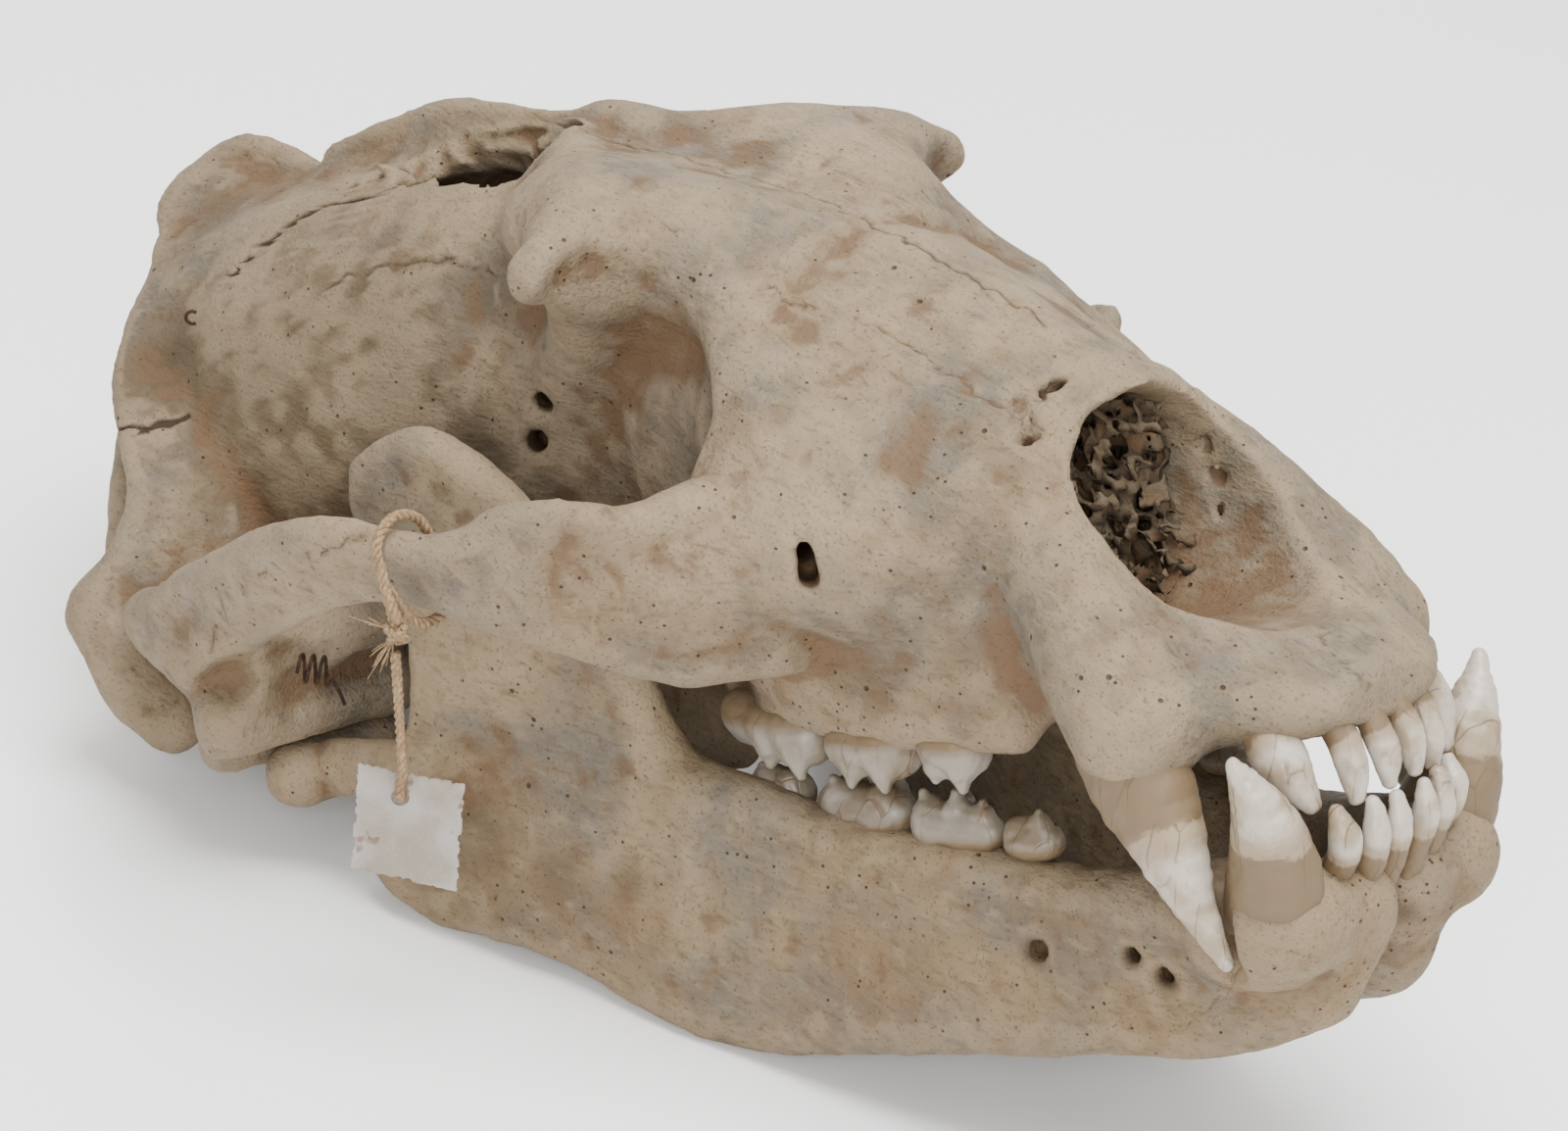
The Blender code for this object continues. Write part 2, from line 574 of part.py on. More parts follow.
UPPER_TEETH = {
    "incisor_1": ("peg", [(320, -4, 12, 2.4), (327, -4, 2, 3.0), (329.5, -4, -5, 2.9), (329.5, -3.9, -10, 1.6)]),
    "incisor_2": ("peg", [(318, -11, 12, 2.6), (325, -11.8, 2, 3.3), (327.5, -12.2, -5, 3.2), (327.5, -12, -11, 1.7)]),
    "incisor_3": ("peg", [(307, -18, 14, 3.8), (315, -21.5, 4, 5.2), (320, -22.5, -3, 5.0), (323.5, -21, -10, 2.2)]),
    "canine": ("fang", [(283, -32, 18, 7), (293.5, -37, 2, 11.2), (300.2, -38, -11, 9.1), (304.7, -37.5, -25, 5.2),
                        (309, -34.8, -39.3, 1.7)]),
    "premolar_4": ("cheek", [(250, -39, -8, 1.5), (244, -40, -6, 1.5), (246, -32, -4, 1.8)],
                   [(251.5, -37, -0.5, 4.6), (244.2, -37.5, -0.5, 4.3)]),
    "molar_1": ("cheek", [(231.5, -42, -8.6, 1.5), (222, -42, -8.2, 1.5), (231, -33, -5, 2), (221.5, -33.5, -5, 2)],
                [(231.7, -37.5, -0.8, 6.5), (220.9, -38, -0.5, 6.4)]),
    "molar_2": ("cheek", [(208, -42, -7.8, 1.6), (199, -41.5, -6, 1.8), (207, -33, -4.8, 2), (197, -33, -3.4, 2),
                 (188, -36.5, -2, 2)],
                [(206.7, -37.5, -0.2, 6.8), (198, -37, 1, 6.4), (188, -36, 3, 5.2)]),
}
LOWER_TEETH = {
    "incisor_1": ("peg", [(323, -3.6, -34, 2.2), (328.5, -3.9, -24, 2.7), (331, -4.2, -18, 2.6), (331, -4.2, -13, 1.5)]),
    "incisor_2": ("peg", [(321, -8.6, -34, 2.3), (327.5, -9.8, -24, 2.9), (330, -10.2, -18, 2.8),
                          (330, -10.2, -12.5, 1.6)]),
    "incisor_3": ("peg", [(317, -13, -32, 2.5), (325, -15.8, -23, 3.3), (327.5, -17, -17.5, 3.3), (327, -17.6, -12.5, 1.7)]),
    "canine": ("fang", [(303, -21, -42, 7.5), (316.5, -27, -27, 10.2), (320.5, -30.6, -15, 8.3),
                        (321.5, -35.2, -5, 4.8), (321, -38.8, 2.5, 1.7)]),
    "premolar_4": ("cheek", [(261, -30, -14.5, 1.2), (256, -30.5, -17, 1.2)],
                   [(263, -30, -20.5, 3), (255.5, -30.5, -19.5, 3.4)]),
    "molar_1": ("cheek", [(248, -32, -13, 1.3), (242, -33, -11, 1.4), (234, -34, -11.5, 1.6), (240, -28.5, -12, 1.4)],
                [(248, -31.5, -19.5, 3.8), (234.5, -32.8, -18, 4.9)]),
    "molar_2": ("cheek", [(224, -35.5, -10.5, 1.7), (212, -37, -9.5, 1.7), (223, -29.5, -10.5, 1.8), (211, -31, -9.5, 1.8)],
                [(224, -33.2, -17, 5.3), (211.5, -34.6, -15.5, 5.3)]),
    "molar_3": ("cheek", [(200, -38, -9.4, 1.6), (194, -39, -7.6, 1.6)],
                [(200, -36.5, -13.6, 4.4), (194.5, -37.5, -11.6, 4.0)]),
}


def tooth_clay(recipe):
    if recipe[0] == "peg":
        return canine(recipe[1])
    if recipe[0] == "fang":
        return canine(recipe[1], FANG_FLATNESS)
    return cheek_tooth(*recipe[1:])


def mirrored(points, faces):
    return points * np.array([1.0, -1.0, 1.0]), [face[::-1] for face in faces]


def add_teeth(row, recipes, finish):
    """Both sides' teeth of one jaw, and the socket cutters of each side."""
    cutters = {"right": [], "left": []}
    for label, recipe in recipes.items():
        clay = tooth_clay(recipe)
        points, faces = largest_body(*clay.surface())
        wide_points, wide_faces = largest_body(*clay.surface(SOCKET_GAP))
        target = FACES_PER_TOOTH[recipe[0]]
        for side in ("right", "left"):
            own = (points, faces) if side == "right" else mirrored(points, faces)
            wide = (wide_points, wide_faces) if side == "right" else mirrored(wide_points, wide_faces)
            solid(f"{row}_{side}_{label}", *own, finish, target, 2)
            cutter = solid(f"socket_{row}_{side}_{label}", *wide, finish, 1.5 * target, 1)
            cutter.hide_render = True
            cutter.display_type = "WIRE"
            cutters[side].append(cutter)
    return cutters


def cut_sockets(bone, cutters):
    for cutter in cutters:
        cut = bone.modifiers.new("socket", "BOOLEAN")
        cut.operation = "DIFFERENCE"
        cut.object = cutter


def clay_piece(name, limbs, step, finish, target):
    """A small solid of rounded limbs, its clay only as large as they need."""
    low = np.min([shape[1] for shape in limbs], axis=0) - 3 * step
    high = np.max([shape[2] for shape in limbs], axis=0) + 3 * step
    clay = Clay(low, high, step)
    for shape in limbs:
        clay.add(shape, 0.4)
    return solid(name, *largest_body(*clay.surface()), finish, target, 1)


def string_loop(finish):
    """Twine tied round the right cheekbone, with its knot and two frayed ends."""
    top = np.array(ARCH_TOP)
    foot = np.array(ARCH_FOOT)
    up = (top - foot) / np.linalg.norm(top - foot)
    out = np.array([0.0, -up[2], up[1]])
    ring = []
    for turn in range(0, 181, 30):
        angle = math.radians(turn)
        ring.append(top + LOOP_OFFSET * (math.cos(angle) * out + math.sin(angle) * up))
    for turn in range(180, 361, 30):
        angle = math.radians(turn)
        ring.append(foot + LOOP_OFFSET * (math.cos(angle) * out + math.sin(angle) * up))
    ring.append(ring[0])
    knot = np.array(KNOT)
    strand = [(*point, STRING_RADIUS) for point in ring]
    return clay_piece("string_loop", [
        limb(strand, 60),
        limb([(*ring[-2], STRING_RADIUS), (*knot, STRING_RADIUS)]),
        ball(knot, (2.6, 2.4, 3.6)),
        limb([(*knot, 1.2), (*(knot + (-2.6, -1.0, -2.4)), 0.9), (*(knot + (-4.4, -1.0, -5.6)), 0.6)]),
    ], 0.5, finish, LOOP_FACES)


def string_route():
    """From just under the knot down to the tag's hole and through it, in skull millimetres."""
    down = -world_up()
    forward = tag_normal()
    hole = np.array(TAG_HOLE)
    start = np.array(KNOT) + 4.0 * down
    return [
        start,
        start * 0.62 + (hole - 9.0 * down + 1.9 * forward) * 0.38,
        hole - 9.0 * down + 2.0 * forward,
        hole - 4.0 * down + 2.1 * forward,
        hole - 1.2 * down + 1.6 * forward,
        hole - 0.1 * down - 0.2 * forward,
        hole - 2.4 * forward,
    ]


def world_up():
    return np.array([math.sin(NOSE_UP), 0.0, math.cos(NOSE_UP)])


def level_direction(heading):
    """A level direction in the rest pose, in the skull's own frame."""
    return np.array([
        math.cos(heading) * math.cos(NOSE_UP),
        math.sin(heading),
        -math.cos(heading) * math.sin(NOSE_UP),
    ])


def tag_normal():
    return level_direction(TAG_HEADING - math.pi / 2)


def tag_string(finish):
    curve = bpy.data.curves.new("tag_string", "CURVE")
    curve.dimensions = "3D"
    spline = curve.splines.new("POLY")
    place = rest_matrix()
    points = [place @ Vector(row) for row in smooth_path(string_route(), 14)]
    spline.points.add(len(points) - 1)
    for point, where in zip(spline.points, points):
        point.co = (*where, 1.0)
    curve.bevel_depth = STRING_RADIUS * MM
    curve.bevel_resolution = 2
    curve.use_fill_caps = True
    curve.materials.append(finish)
    made = bpy.data.objects.new("tag_string", curve)
    bpy.context.scene.collection.objects.link(made)
    return made


def paper_tag(finish):
    """A small torn paper tag, level across and hanging from its hole."""
    across = level_direction(TAG_HEADING)
    up = world_up()
    normal = tag_normal()
    place = rest_matrix()
    rim = [np.array(corner) for corner in TAG_CORNERS]
    hole = [TAG_HOLE_RADIUS * np.array([math.cos(a), math.sin(a)]) for a in np.linspace(0.0, 2 * math.pi, 13)[:-1]]
    starts = [int(round(math.atan2(corner[1], corner[0]) / (2 * math.pi) * 12)) % 12 for corner in rim]
    points = []
    for side in (-0.5, 0.5):
        for u, v in (*rim, *hole):
            where = np.array(TAG_HOLE) + u * across + v * up + side * TAG_THICKNESS * normal
            points.append(place @ Vector(where))
    half = len(points) // 2
    faces = []
    for k in range(4):
        fan = [starts[k]]
        while fan[-1] != starts[(k + 1) % 4]:
            fan.append((fan[-1] - 1) % 12)
        front = [half + k, half + (k + 1) % 4] + [half + 4 + j for j in reversed(fan)]
        faces.append(front[::-1])
        faces.append([index - half for index in front])
        faces.append([k, (k + 1) % 4, half + (k + 1) % 4, half + k][::-1])
    for j in range(12):
        faces.append([half + 4 + j, half + 4 + (j + 1) % 12, 4 + (j + 1) % 12, 4 + j])
    mesh = bpy.data.meshes.new("paper_tag")
    mesh.from_pydata(points, [], faces)
    mesh.materials.append(finish)
    made = bpy.data.objects.new("paper_tag", mesh)
    bpy.context.scene.collection.objects.link(made)
    return made


def wire_spring(finish):
    """Rusty wire left from a mending: three turns beside the right jaw joint and a bent tail."""
    middle = np.array(SPRING_MIDDLE)
    along = level_direction(math.radians(44.0))
    outward = level_direction(math.radians(-46.0))
    up = world_up()
    turns = []
    for step in range(37):
        angle = math.radians(step * 30.0)
        shift = (step / 12.0 - 1.5) * SPRING_PITCH
        ring = math.cos(angle) * outward * 0.8 + math.sin(angle) * up
        turns.append((*(middle + shift * along + SPRING_RADIUS * ring), WIRE_RADIUS))
    end = np.array(turns[-1][:3])
    tail = [turns[-1], (*(end + 2.0 * along - 3.0 * up), WIRE_RADIUS), (*(end + 3.6 * along - 6.4 * up), WIRE_RADIUS)]
    return clay_piece("wire_spring", [limb(turns, 72), limb(tail, 6)], 0.3, finish, SPRING_FACES)


def wire_hook(finish):
    """A small bent wire end that stands out of the crack behind the braincase."""
    middle = np.array(HOOK_MIDDLE)
    across = level_direction(math.radians(44.0))
    up = world_up()
    bend = []
    for turn in range(60, 301, 30):
        angle = math.radians(turn)
        bend.append((*(middle + HOOK_RADIUS * (math.cos(angle) * across + math.sin(angle) * up)), WIRE_RADIUS))
    return clay_piece("wire_hook", [limb(bend, 16)], 0.3, finish, HOOK_FACES)


def stand_flat(bone):
    """Cuts the jaw level where it stands, so that it has real feet."""
    bpy.ops.mesh.primitive_cube_add(size=1.0, location=(0.0, 0.0, -0.5 * GROUND_SIZE[2]))
    ground = bpy.context.active_object
    ground.name = "ground"
    ground.scale = GROUND_SIZE
    ground.hide_render = True
    ground.display_type = "WIRE"
    for item in bone:
        cut = item.modifiers.new("feet", "BOOLEAN")
        cut.operation = "DIFFERENCE"
        cut.object = ground


def main():
    clear_scene()
    bone = material("bone", BONE_COLOUR, 0.75)
    jaw = material("jaw_bone", JAW_COLOUR, 0.72)
    enamel = material("enamel", TOOTH_COLOUR, 0.35)
    upper = add_teeth("upper", UPPER_TEETH, enamel)
    lower = add_teeth("lower", LOWER_TEETH, enamel)
    head = solid("cranium", *largest_body(*cranium().surface()), bone, CRANIUM_FACES, 1)
    cut_sockets(head, upper["right"] + upper["left"])
    points, faces = largest_body(*jaw_bone().surface())
    right = solid("mandible_right", points, faces, jaw, JAW_FACES, 1)
    left = solid("mandible_left", *mirrored(points, faces), jaw, JAW_FACES, 1)
    cut_sockets(right, lower["right"])
    cut_sockets(left, lower["left"])
    stand_flat((right, left))
    twine = material("twine", STRING_COLOUR, 0.9)
    wire = material("rusty_wire", WIRE_COLOUR, 0.6, 0.6)
    string_loop(twine)
    tag_string(twine)
    paper_tag(material("paper", TAG_COLOUR, 0.85))
    wire_spring(wire)
    wire_hook(wire)


main()
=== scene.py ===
import math

import bmesh
import bpy
import numpy as np
import openvdb
from mathutils import Matrix, Vector


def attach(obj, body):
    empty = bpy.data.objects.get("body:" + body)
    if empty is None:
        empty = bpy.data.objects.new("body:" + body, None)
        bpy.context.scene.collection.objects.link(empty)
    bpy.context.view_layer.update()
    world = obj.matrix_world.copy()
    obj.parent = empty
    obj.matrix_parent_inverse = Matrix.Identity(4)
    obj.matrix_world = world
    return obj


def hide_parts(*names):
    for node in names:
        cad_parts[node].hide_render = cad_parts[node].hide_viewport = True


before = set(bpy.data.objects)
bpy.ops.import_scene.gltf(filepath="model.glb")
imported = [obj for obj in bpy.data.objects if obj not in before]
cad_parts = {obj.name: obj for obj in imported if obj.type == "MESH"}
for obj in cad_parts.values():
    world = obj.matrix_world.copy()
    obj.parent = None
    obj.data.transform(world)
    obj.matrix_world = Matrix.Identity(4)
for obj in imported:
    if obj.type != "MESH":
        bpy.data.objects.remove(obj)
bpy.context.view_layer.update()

# The skull's own measures are in millimetres: x runs from the back of the head to the snout,
# y to the animal's left and z up from the upper tooth line. It stands on its lower jaw, so
# this one matrix tips it nose up and puts it on the floor.
MM = 0.001
NOSE_UP = math.radians(20.0)
SKULL_MIDDLE_X = 150.9
FLOOR_BELOW_HINGE = 22.4
HINGE_X = 88.0
HINGE_Z = -7.0


def resting_place():
    tip = Matrix.Rotation(-NOSE_UP, 4, "Y")
    hinge = tip @ Vector((HINGE_X, 0.0, HINGE_Z))
    middle = tip @ Vector((SKULL_MIDDLE_X, 0.0, 0.0))
    floor = hinge.z - FLOOR_BELOW_HINGE
    return Matrix.Scale(MM, 4) @ Matrix.Translation((-middle.x, 0.0, -floor)) @ tip


AT_REST = resting_place()

# The camera looks at the animal's right cheek from in front and above, with a long lens.
# It is set in the skull's own frame, because the photograph shows the skull and no floor.
EYE = Vector((933.92, -739.52, 257.95))
EYE_TURN = math.radians(45.982)
EYE_LIFT = math.radians(12.418)
EYE_ROLL = math.radians(-8.582)
LENS_MM = 117.19
SENSOR_MM = 36.0
SIGHT_END = 20.0

backward = Vector((
    math.sin(EYE_TURN) * math.cos(EYE_LIFT),
    -math.cos(EYE_TURN) * math.cos(EYE_LIFT),
    math.sin(EYE_LIFT),
))
level = Vector((math.cos(EYE_TURN), math.sin(EYE_TURN), 0.0))
upright = backward.cross(level)
to_right = level * math.cos(EYE_ROLL) + upright * math.sin(EYE_ROLL)
to_top = upright * math.cos(EYE_ROLL) - level * math.sin(EYE_ROLL)
view_turn = Matrix((to_right, to_top, backward)).transposed()
view_turn = (AT_REST.to_3x3() * (1.0 / MM)) @ view_turn
camera_data = bpy.data.cameras.new("camera")
camera_data.lens = LENS_MM
camera_data.sensor_width = SENSOR_MM
camera_data.clip_end = SIGHT_END
camera = bpy.data.objects.new("camera", camera_data)
camera.matrix_world = Matrix.Translation(AT_REST @ EYE) @ view_turn.to_4x4()
bpy.context.scene.collection.objects.link(camera)
bpy.context.scene.camera = camera

# A pale seamless table top and soft studio boxes: a broad one overhead, one from the camera's
# side and a weak one behind, over an even pale room.
FLOOR_COLOUR = (0.95, 0.95, 0.945, 1.0)
FLOOR_ROUGHNESS = 0.7
FLOOR_SIZE = 16.0
FLOOR_DROP = 0.0002
LIT_MIDDLE = Vector((0.0, 0.0, 0.08))
ROOM_COLOUR = (1.0, 0.99, 0.97, 1.0)
ROOM_STRENGTH = 0.95
SOFT_BOXES = (
    ("overhead", (0.25, -0.10, 1.35), 1.0, 37.0),
    ("camera_side", (1.1, -1.3, 0.75), 0.9, 26.0),
    ("behind", (-0.9, 0.9, 0.9), 0.8, 9.0),
)


def soft_box(name, where, size, power):
    lamp = bpy.data.lights.new(name, "AREA")
    lamp.shape = "DISK"
    lamp.size = size
    lamp.energy = power
    made = bpy.data.objects.new(name, lamp)
    made.location = where
    aim = LIT_MIDDLE - made.location
    made.rotation_euler = aim.to_track_quat("-Z", "Y").to_euler()
    bpy.context.scene.collection.objects.link(made)


for box in SOFT_BOXES:
    soft_box(*box)
room = bpy.data.worlds.new("room")
room.use_nodes = True
room_light = room.node_tree.nodes["Background"].inputs
room_light["Color"].default_value = ROOM_COLOUR
room_light["Strength"].default_value = ROOM_STRENGTH
bpy.context.scene.world = room
bpy.ops.mesh.primitive_plane_add(size=FLOOR_SIZE, location=(0.0, 0.0, -FLOOR_DROP))
table = bpy.context.active_object
table.name = "table_top"
table_paint = bpy.data.materials.new("table_paint")
table_paint.use_nodes = True
paint = table_paint.node_tree.nodes["Principled BSDF"].inputs
paint["Base Color"].default_value = FLOOR_COLOUR
paint["Roughness"].default_value = FLOOR_ROUGHNESS
table.data.materials.append(table_paint)


# The lower jaw: two halves of dry bone that meet at the chin with a fine open gap between
# them. Each half is a thick bar under the teeth, a thin upright blade behind them, and the
# rounded joint that turns under the cheekbone's root. Shapes are built up as soft clay.
CONDYLE_RADIUS = 7.5
CHIN_GAP = 0.5
BONE_STEP = 1.3
FAR = 40.0
LINE_DEPTH = 4.0
LINE_REACH = 6.0
CRACK_SPLIT = 1.9
CRACK_WANDER = 0.45
FLOOR_SOFTNESS = 0.0008
# Brown of dirt for the streaks and specks, and of painted shade in the dark smudges.
DIRT_AND_SHADE = (0.050, 0.033, 0.016)
# Brown for small dents and creases: partly dirt, partly painted shade.
DENT_DIRT_AND_SHADE = (0.10, 0.058, 0.030)
# Dark brown for large hollows such as the eye socket: painted shade.
CAVITY_SHADE = (0.12, 0.070, 0.036)
PIT_BLACK = (0.030, 0.018, 0.010)
SHADE_BLACK = (0.035, 0.021, 0.012)
PIT_SIZES = ((190.0, 0.05, 0.13), (480.0, 0.12, 0.20))
CHIN_FRONT_X = 329
CHIN_PORES = (
    (318, -42, 1.5), (314, -50, 1.7), (309, -46, 1.2),
    (322, -37, 1.0), (306, -54, 1.3), (312, -40, 1.0),
)


def smooth_path(points, count):
    """Catmull-Rom curve through rows of numbers, sampled evenly."""
    rows = np.array(points, float)
    if len(rows) == 2:
        t = np.linspace(0.0, 1.0, count)[:, None]
        return rows[0] * (1 - t) + rows[1] * t
    rows = np.vstack([2 * rows[0] - rows[1], rows, 2 * rows[-1] - rows[-2]])
    place = np.linspace(0.0, len(rows) - 3 - 1e-9, count)
    start = place.astype(int)
    t = (place - start)[:, None]
    a, b, c, d = (rows[start + k] for k in range(4))
    return 0.5 * (2 * b + (c - a) * t + (2 * a - 5 * b + 4 * c - d) * t**2 + (3 * b - a - 3 * c + d) * t**3)


def blend_min(a, b, reach):
    if reach <= 0:
        return np.minimum(a, b)
    share = np.clip(0.5 + 0.5 * (b - a) / reach, 0.0, 1.0)
    return b + (a - b) * share - reach * share * (1 - share)


def bone_between(x, y, z, a, b):
    """Distance to a straight limb from a to b, each (x, y, z, radius)."""
    ax, ay, az, ar = a
    run = np.array(b[:3]) - np.array(a[:3])
    length = max(float(run @ run), 1e-9)
    along = ((x - ax) * run[0] + (y - ay) * run[1] + (z - az) * run[2]) / length
    along = np.clip(along, 0.0, 1.0)
    away = (x - ax - along * run[0]) ** 2 + (y - ay - along * run[1]) ** 2 + (z - az - along * run[2]) ** 2
    return np.sqrt(away) - (ar + along * (b[3] - ar))


def ball(centre, radii, turn=(0.0, 0.0, 0.0)):
    """An egg shape; turn is in degrees about x, y and z."""
    centre = np.array(centre, float)
    radii = np.array(radii, float)
    spin = Matrix.Rotation(math.radians(turn[2]), 3, "Z") @ Matrix.Rotation(math.radians(turn[1]), 3, "Y")
    spin = np.array(spin @ Matrix.Rotation(math.radians(turn[0]), 3, "X"))

    def distance(x, y, z):
        gap = (x - centre[0], y - centre[1], z - centre[2])
        local = [sum(spin[i][k] * gap[i] for i in range(3)) for k in range(3)]
        near = np.sqrt(sum((local[k] / radii[k]) ** 2 for k in range(3)))
        steep = np.sqrt(sum((local[k] / radii[k] ** 2) ** 2 for k in range(3)))
        return near * (near - 1) / np.maximum(steep, 1e-6)

    reach = np.full(3, radii.max())
    return distance, centre - reach, centre + reach


def limb(points, count=None):
    """A rounded bar through points (x, y, z, radius)."""
    path = smooth_path(points, count or 4 * len(points))

    def distance(x, y, z):
        found = bone_between(x, y, z, path[0], path[1])
        for a, b in zip(path[1:-1], path[2:]):
            found = np.minimum(found, bone_between(x, y, z, a, b))
        return found

    return distance, (path[:, :3] - path[:, 3:]).min(axis=0), (path[:, :3] + path[:, 3:]).max(axis=0)


def facet(x, y, z, corners):
    """Distance to a thick triangle whose corners are (x, y, z, half thickness)."""
    a, b, c = (np.array(corner[:3]) for corner in corners)
    found = bone_between(x, y, z, corners[0], corners[1])
    found = np.minimum(found, bone_between(x, y, z, corners[1], corners[2]))
    found = np.minimum(found, bone_between(x, y, z, corners[2], corners[0]))
    ab = b - a
    ac = c - a
    normal = np.cross(ab, ac)
    area = float(normal @ normal)
    if area < 1e-6:
        return found
    gap = (x - a[0], y - a[1], z - a[2])
    to_b = np.cross(ac, normal) / area
    to_c = np.cross(normal, ab) / area
    share_b = sum(gap[k] * to_b[k] for k in range(3))
    share_c = sum(gap[k] * to_c[k] for k in range(3))
    inside = (share_b >= 0) & (share_c >= 0) & (share_b + share_c <= 1)
    off = sum(gap[k] * normal[k] for k in range(3)) / math.sqrt(area)
    one, two, three = (corner[3] for corner in corners)
    thick = one + share_b * (two - one) + share_c * (three - one)
    return np.where(inside, np.abs(off) - thick, found)


def plate(edge, other, count=None):
    """A thin plate ruled between two edges of points (x, y, z, half thickness)."""
    count = count or 2 * max(len(edge), len(other))
    one = smooth_path(edge, count)
    two = smooth_path(other, count)

    def distance(x, y, z):
        found = None
        for k in range(count - 1):
            for corners in ((one[k], one[k + 1], two[k]), (one[k + 1], two[k + 1], two[k])):
                piece = facet(x, y, z, corners)
                found = piece if found is None else np.minimum(found, piece)
        return found

    rows = np.vstack([one, two])
    return distance, (rows[:, :3] - rows[:, 3:]).min(axis=0), (rows[:, :3] + rows[:, 3:]).max(axis=0)


def both_sides(shape):
    """The same shape on the right side, where y is negative, and mirrored on the left."""
    distance, low, high = shape
    reach = max(abs(low[1]), abs(high[1]))
    low = np.array([low[0], -reach, low[2]])
    high = np.array([high[0], reach, high[2]])
    return (lambda x, y, z: distance(x, -np.abs(y), z)), low, high


class Clay:
    """A block of clay: the distance to the surface at each point of an even grid."""

    def __init__(self, low, high, step):
        self.low = np.array(low, float)
        self.step = step
        count = np.ceil((np.array(high, float) - self.low) / step).astype(int) + 1
        self.field = np.full(count, FAR, np.float32)

    def window(self, low, high):
        first = np.maximum(np.floor((low - self.low) / self.step).astype(int), 0)
        last = np.minimum(np.ceil((high - self.low) / self.step).astype(int) + 1, self.field.shape)
        spans = tuple(slice(a, b) for a, b in zip(first, last))
        axes = [self.low[k] + self.step * np.arange(first[k], last[k]) for k in range(3)]
        return spans, np.meshgrid(*axes, indexing="ij", sparse=True)

    def add(self, shape, blend=0.0):
        distance, low, high = shape
        margin = blend + 3 * self.step
        spans, axes = self.window(low - margin, high + margin)
        self.field[spans] = blend_min(self.field[spans], distance(*axes), blend)

    def cut(self, shape, blend=0.0):
        distance, low, high = shape
        margin = blend + 3 * self.step
        spans, axes = self.window(low - margin, high + margin)
        self.field[spans] = -blend_min(-self.field[spans], distance(*axes), blend)

    def keep(self, distance):
        _, axes = self.window(self.low, self.low + self.step * np.array(self.field.shape))
        self.field = np.maximum(self.field, distance(*axes)).astype(np.float32)

    def surface(self, offset=0.0):
        """Points in millimetres and the quads and triangles of the surface."""
        grid = openvdb.FloatGrid(3.0)
        grid.copyFromArray(np.clip(self.field / self.step, -3, 3))
        points, triangles, quads = grid.convertToPolygons(isovalue=offset / self.step, adaptivity=0.0)
        return points * self.step + self.low, [*quads.tolist(), *triangles.tolist()]


def largest_body(points, faces):
    """Drops loose crumbs: only the largest connected surface stays."""
    label = np.arange(len(points))
    quads = np.array([(*face, face[-1])[:4] for face in faces])
    while True:
        lowest = label[quads].min(axis=1)
        fresh = label.copy()
        for column in range(4):
            np.minimum.at(fresh, quads[:, column], lowest)
        fresh = fresh[fresh]
        if (fresh == label).all():
            break
        label = fresh
    values, sizes = np.unique(label[quads[:, 0]], return_counts=True)
    kept = quads[label[quads[:, 0]] == values[sizes.argmax()]]
    used, numbers = np.unique(kept, return_inverse=True)
    numbers = numbers.reshape(kept.shape)
    return points[used], [list(dict.fromkeys(row)) for row in numbers.tolist()]


def waves(x, y, z, length, seed):
    """A smooth wandering field of about unit size, with swells of the given length."""
    random = np.random.default_rng(seed)
    total = 0.0
    for _ in range(12):
        heading = random.normal(size=3)
        heading *= 2 * math.pi / (length * random.uniform(0.7, 1.5) * np.linalg.norm(heading))
        start = random.uniform(0, 2 * math.pi)
        total = total + np.sin(heading[0] * x + heading[1] * y + heading[2] * z + start)
    return total / math.sqrt(6.0)


def rough(shape, depth, length, seed):
    """The same shape with a ragged surface."""
    distance, low, high = shape

    def ragged(x, y, z):
        return distance(x, y, z) + depth * waves(x, y, z, length, seed)

    return ragged, low - depth, high + depth


def mirrored(points, faces):
    return points * np.array([1.0, -1.0, 1.0]), [face[::-1] for face in faces]


def distance_to_lines(points, normals, lines):
    """How far each point is, along the surface, from the nearest of the lines."""
    found = np.full(len(points), FAR)
    for line in lines:
        path = smooth_path(line, 6 * len(line))
        near = points > path.min(axis=0) - LINE_REACH
        near = (near & (points < path.max(axis=0) + LINE_REACH)).all(axis=1)
        some = points[near]
        out = normals[near]
        best = found[near]
        for a, b in zip(path[:-1], path[1:]):
            run = b - a
            along = np.clip((some - a) @ run / max(run @ run, 1e-9), 0.0, 1.0)
            gap = some - a - along[:, None] * run
            rise = (gap * out).sum(axis=1)
            flat = np.sqrt(np.maximum((gap * gap).sum(axis=1) - rise * rise, 0.0))
            best = np.where(np.abs(rise) < LINE_DEPTH, np.minimum(best, flat), best)
        found[near] = best
    return found


def spots(points, places):
    """A soft mark around each place (x, y, z, radius, strength), strongest where they overlap."""
    found = np.zeros(len(points))
    for x, y, z, radius, strength in places:
        away = np.linalg.norm(points - (x, y, z), axis=1) / radius
        found = np.maximum(found, strength * np.clip(1.25 - away, 0.0, 1.0))
    return found


def thinned(name, points, faces, target):
    """The clay's surface as a mesh in skull millimetres, smoothed once and with fewer triangles."""
    mesh = bpy.data.meshes.new(name)
    mesh.from_pydata(points, [], faces)
    item = bpy.data.objects.new(name, mesh)
    bpy.context.scene.collection.objects.link(item)
    relax = item.modifiers.new("relax", "SMOOTH")
    relax.factor = 0.5
    relax.iterations = 2
    triangles = sum(len(face) - 2 for face in faces)
    thin = item.modifiers.new("thin", "DECIMATE")
    thin.ratio = min(1.0, target / triangles)
    thin.use_collapse_triangulate = True
    graph = bpy.context.evaluated_depsgraph_get()
    item.data = bpy.data.meshes.new_from_object(item.evaluated_get(graph))
    item.modifiers.clear()
    bpy.data.meshes.remove(mesh)
    return item


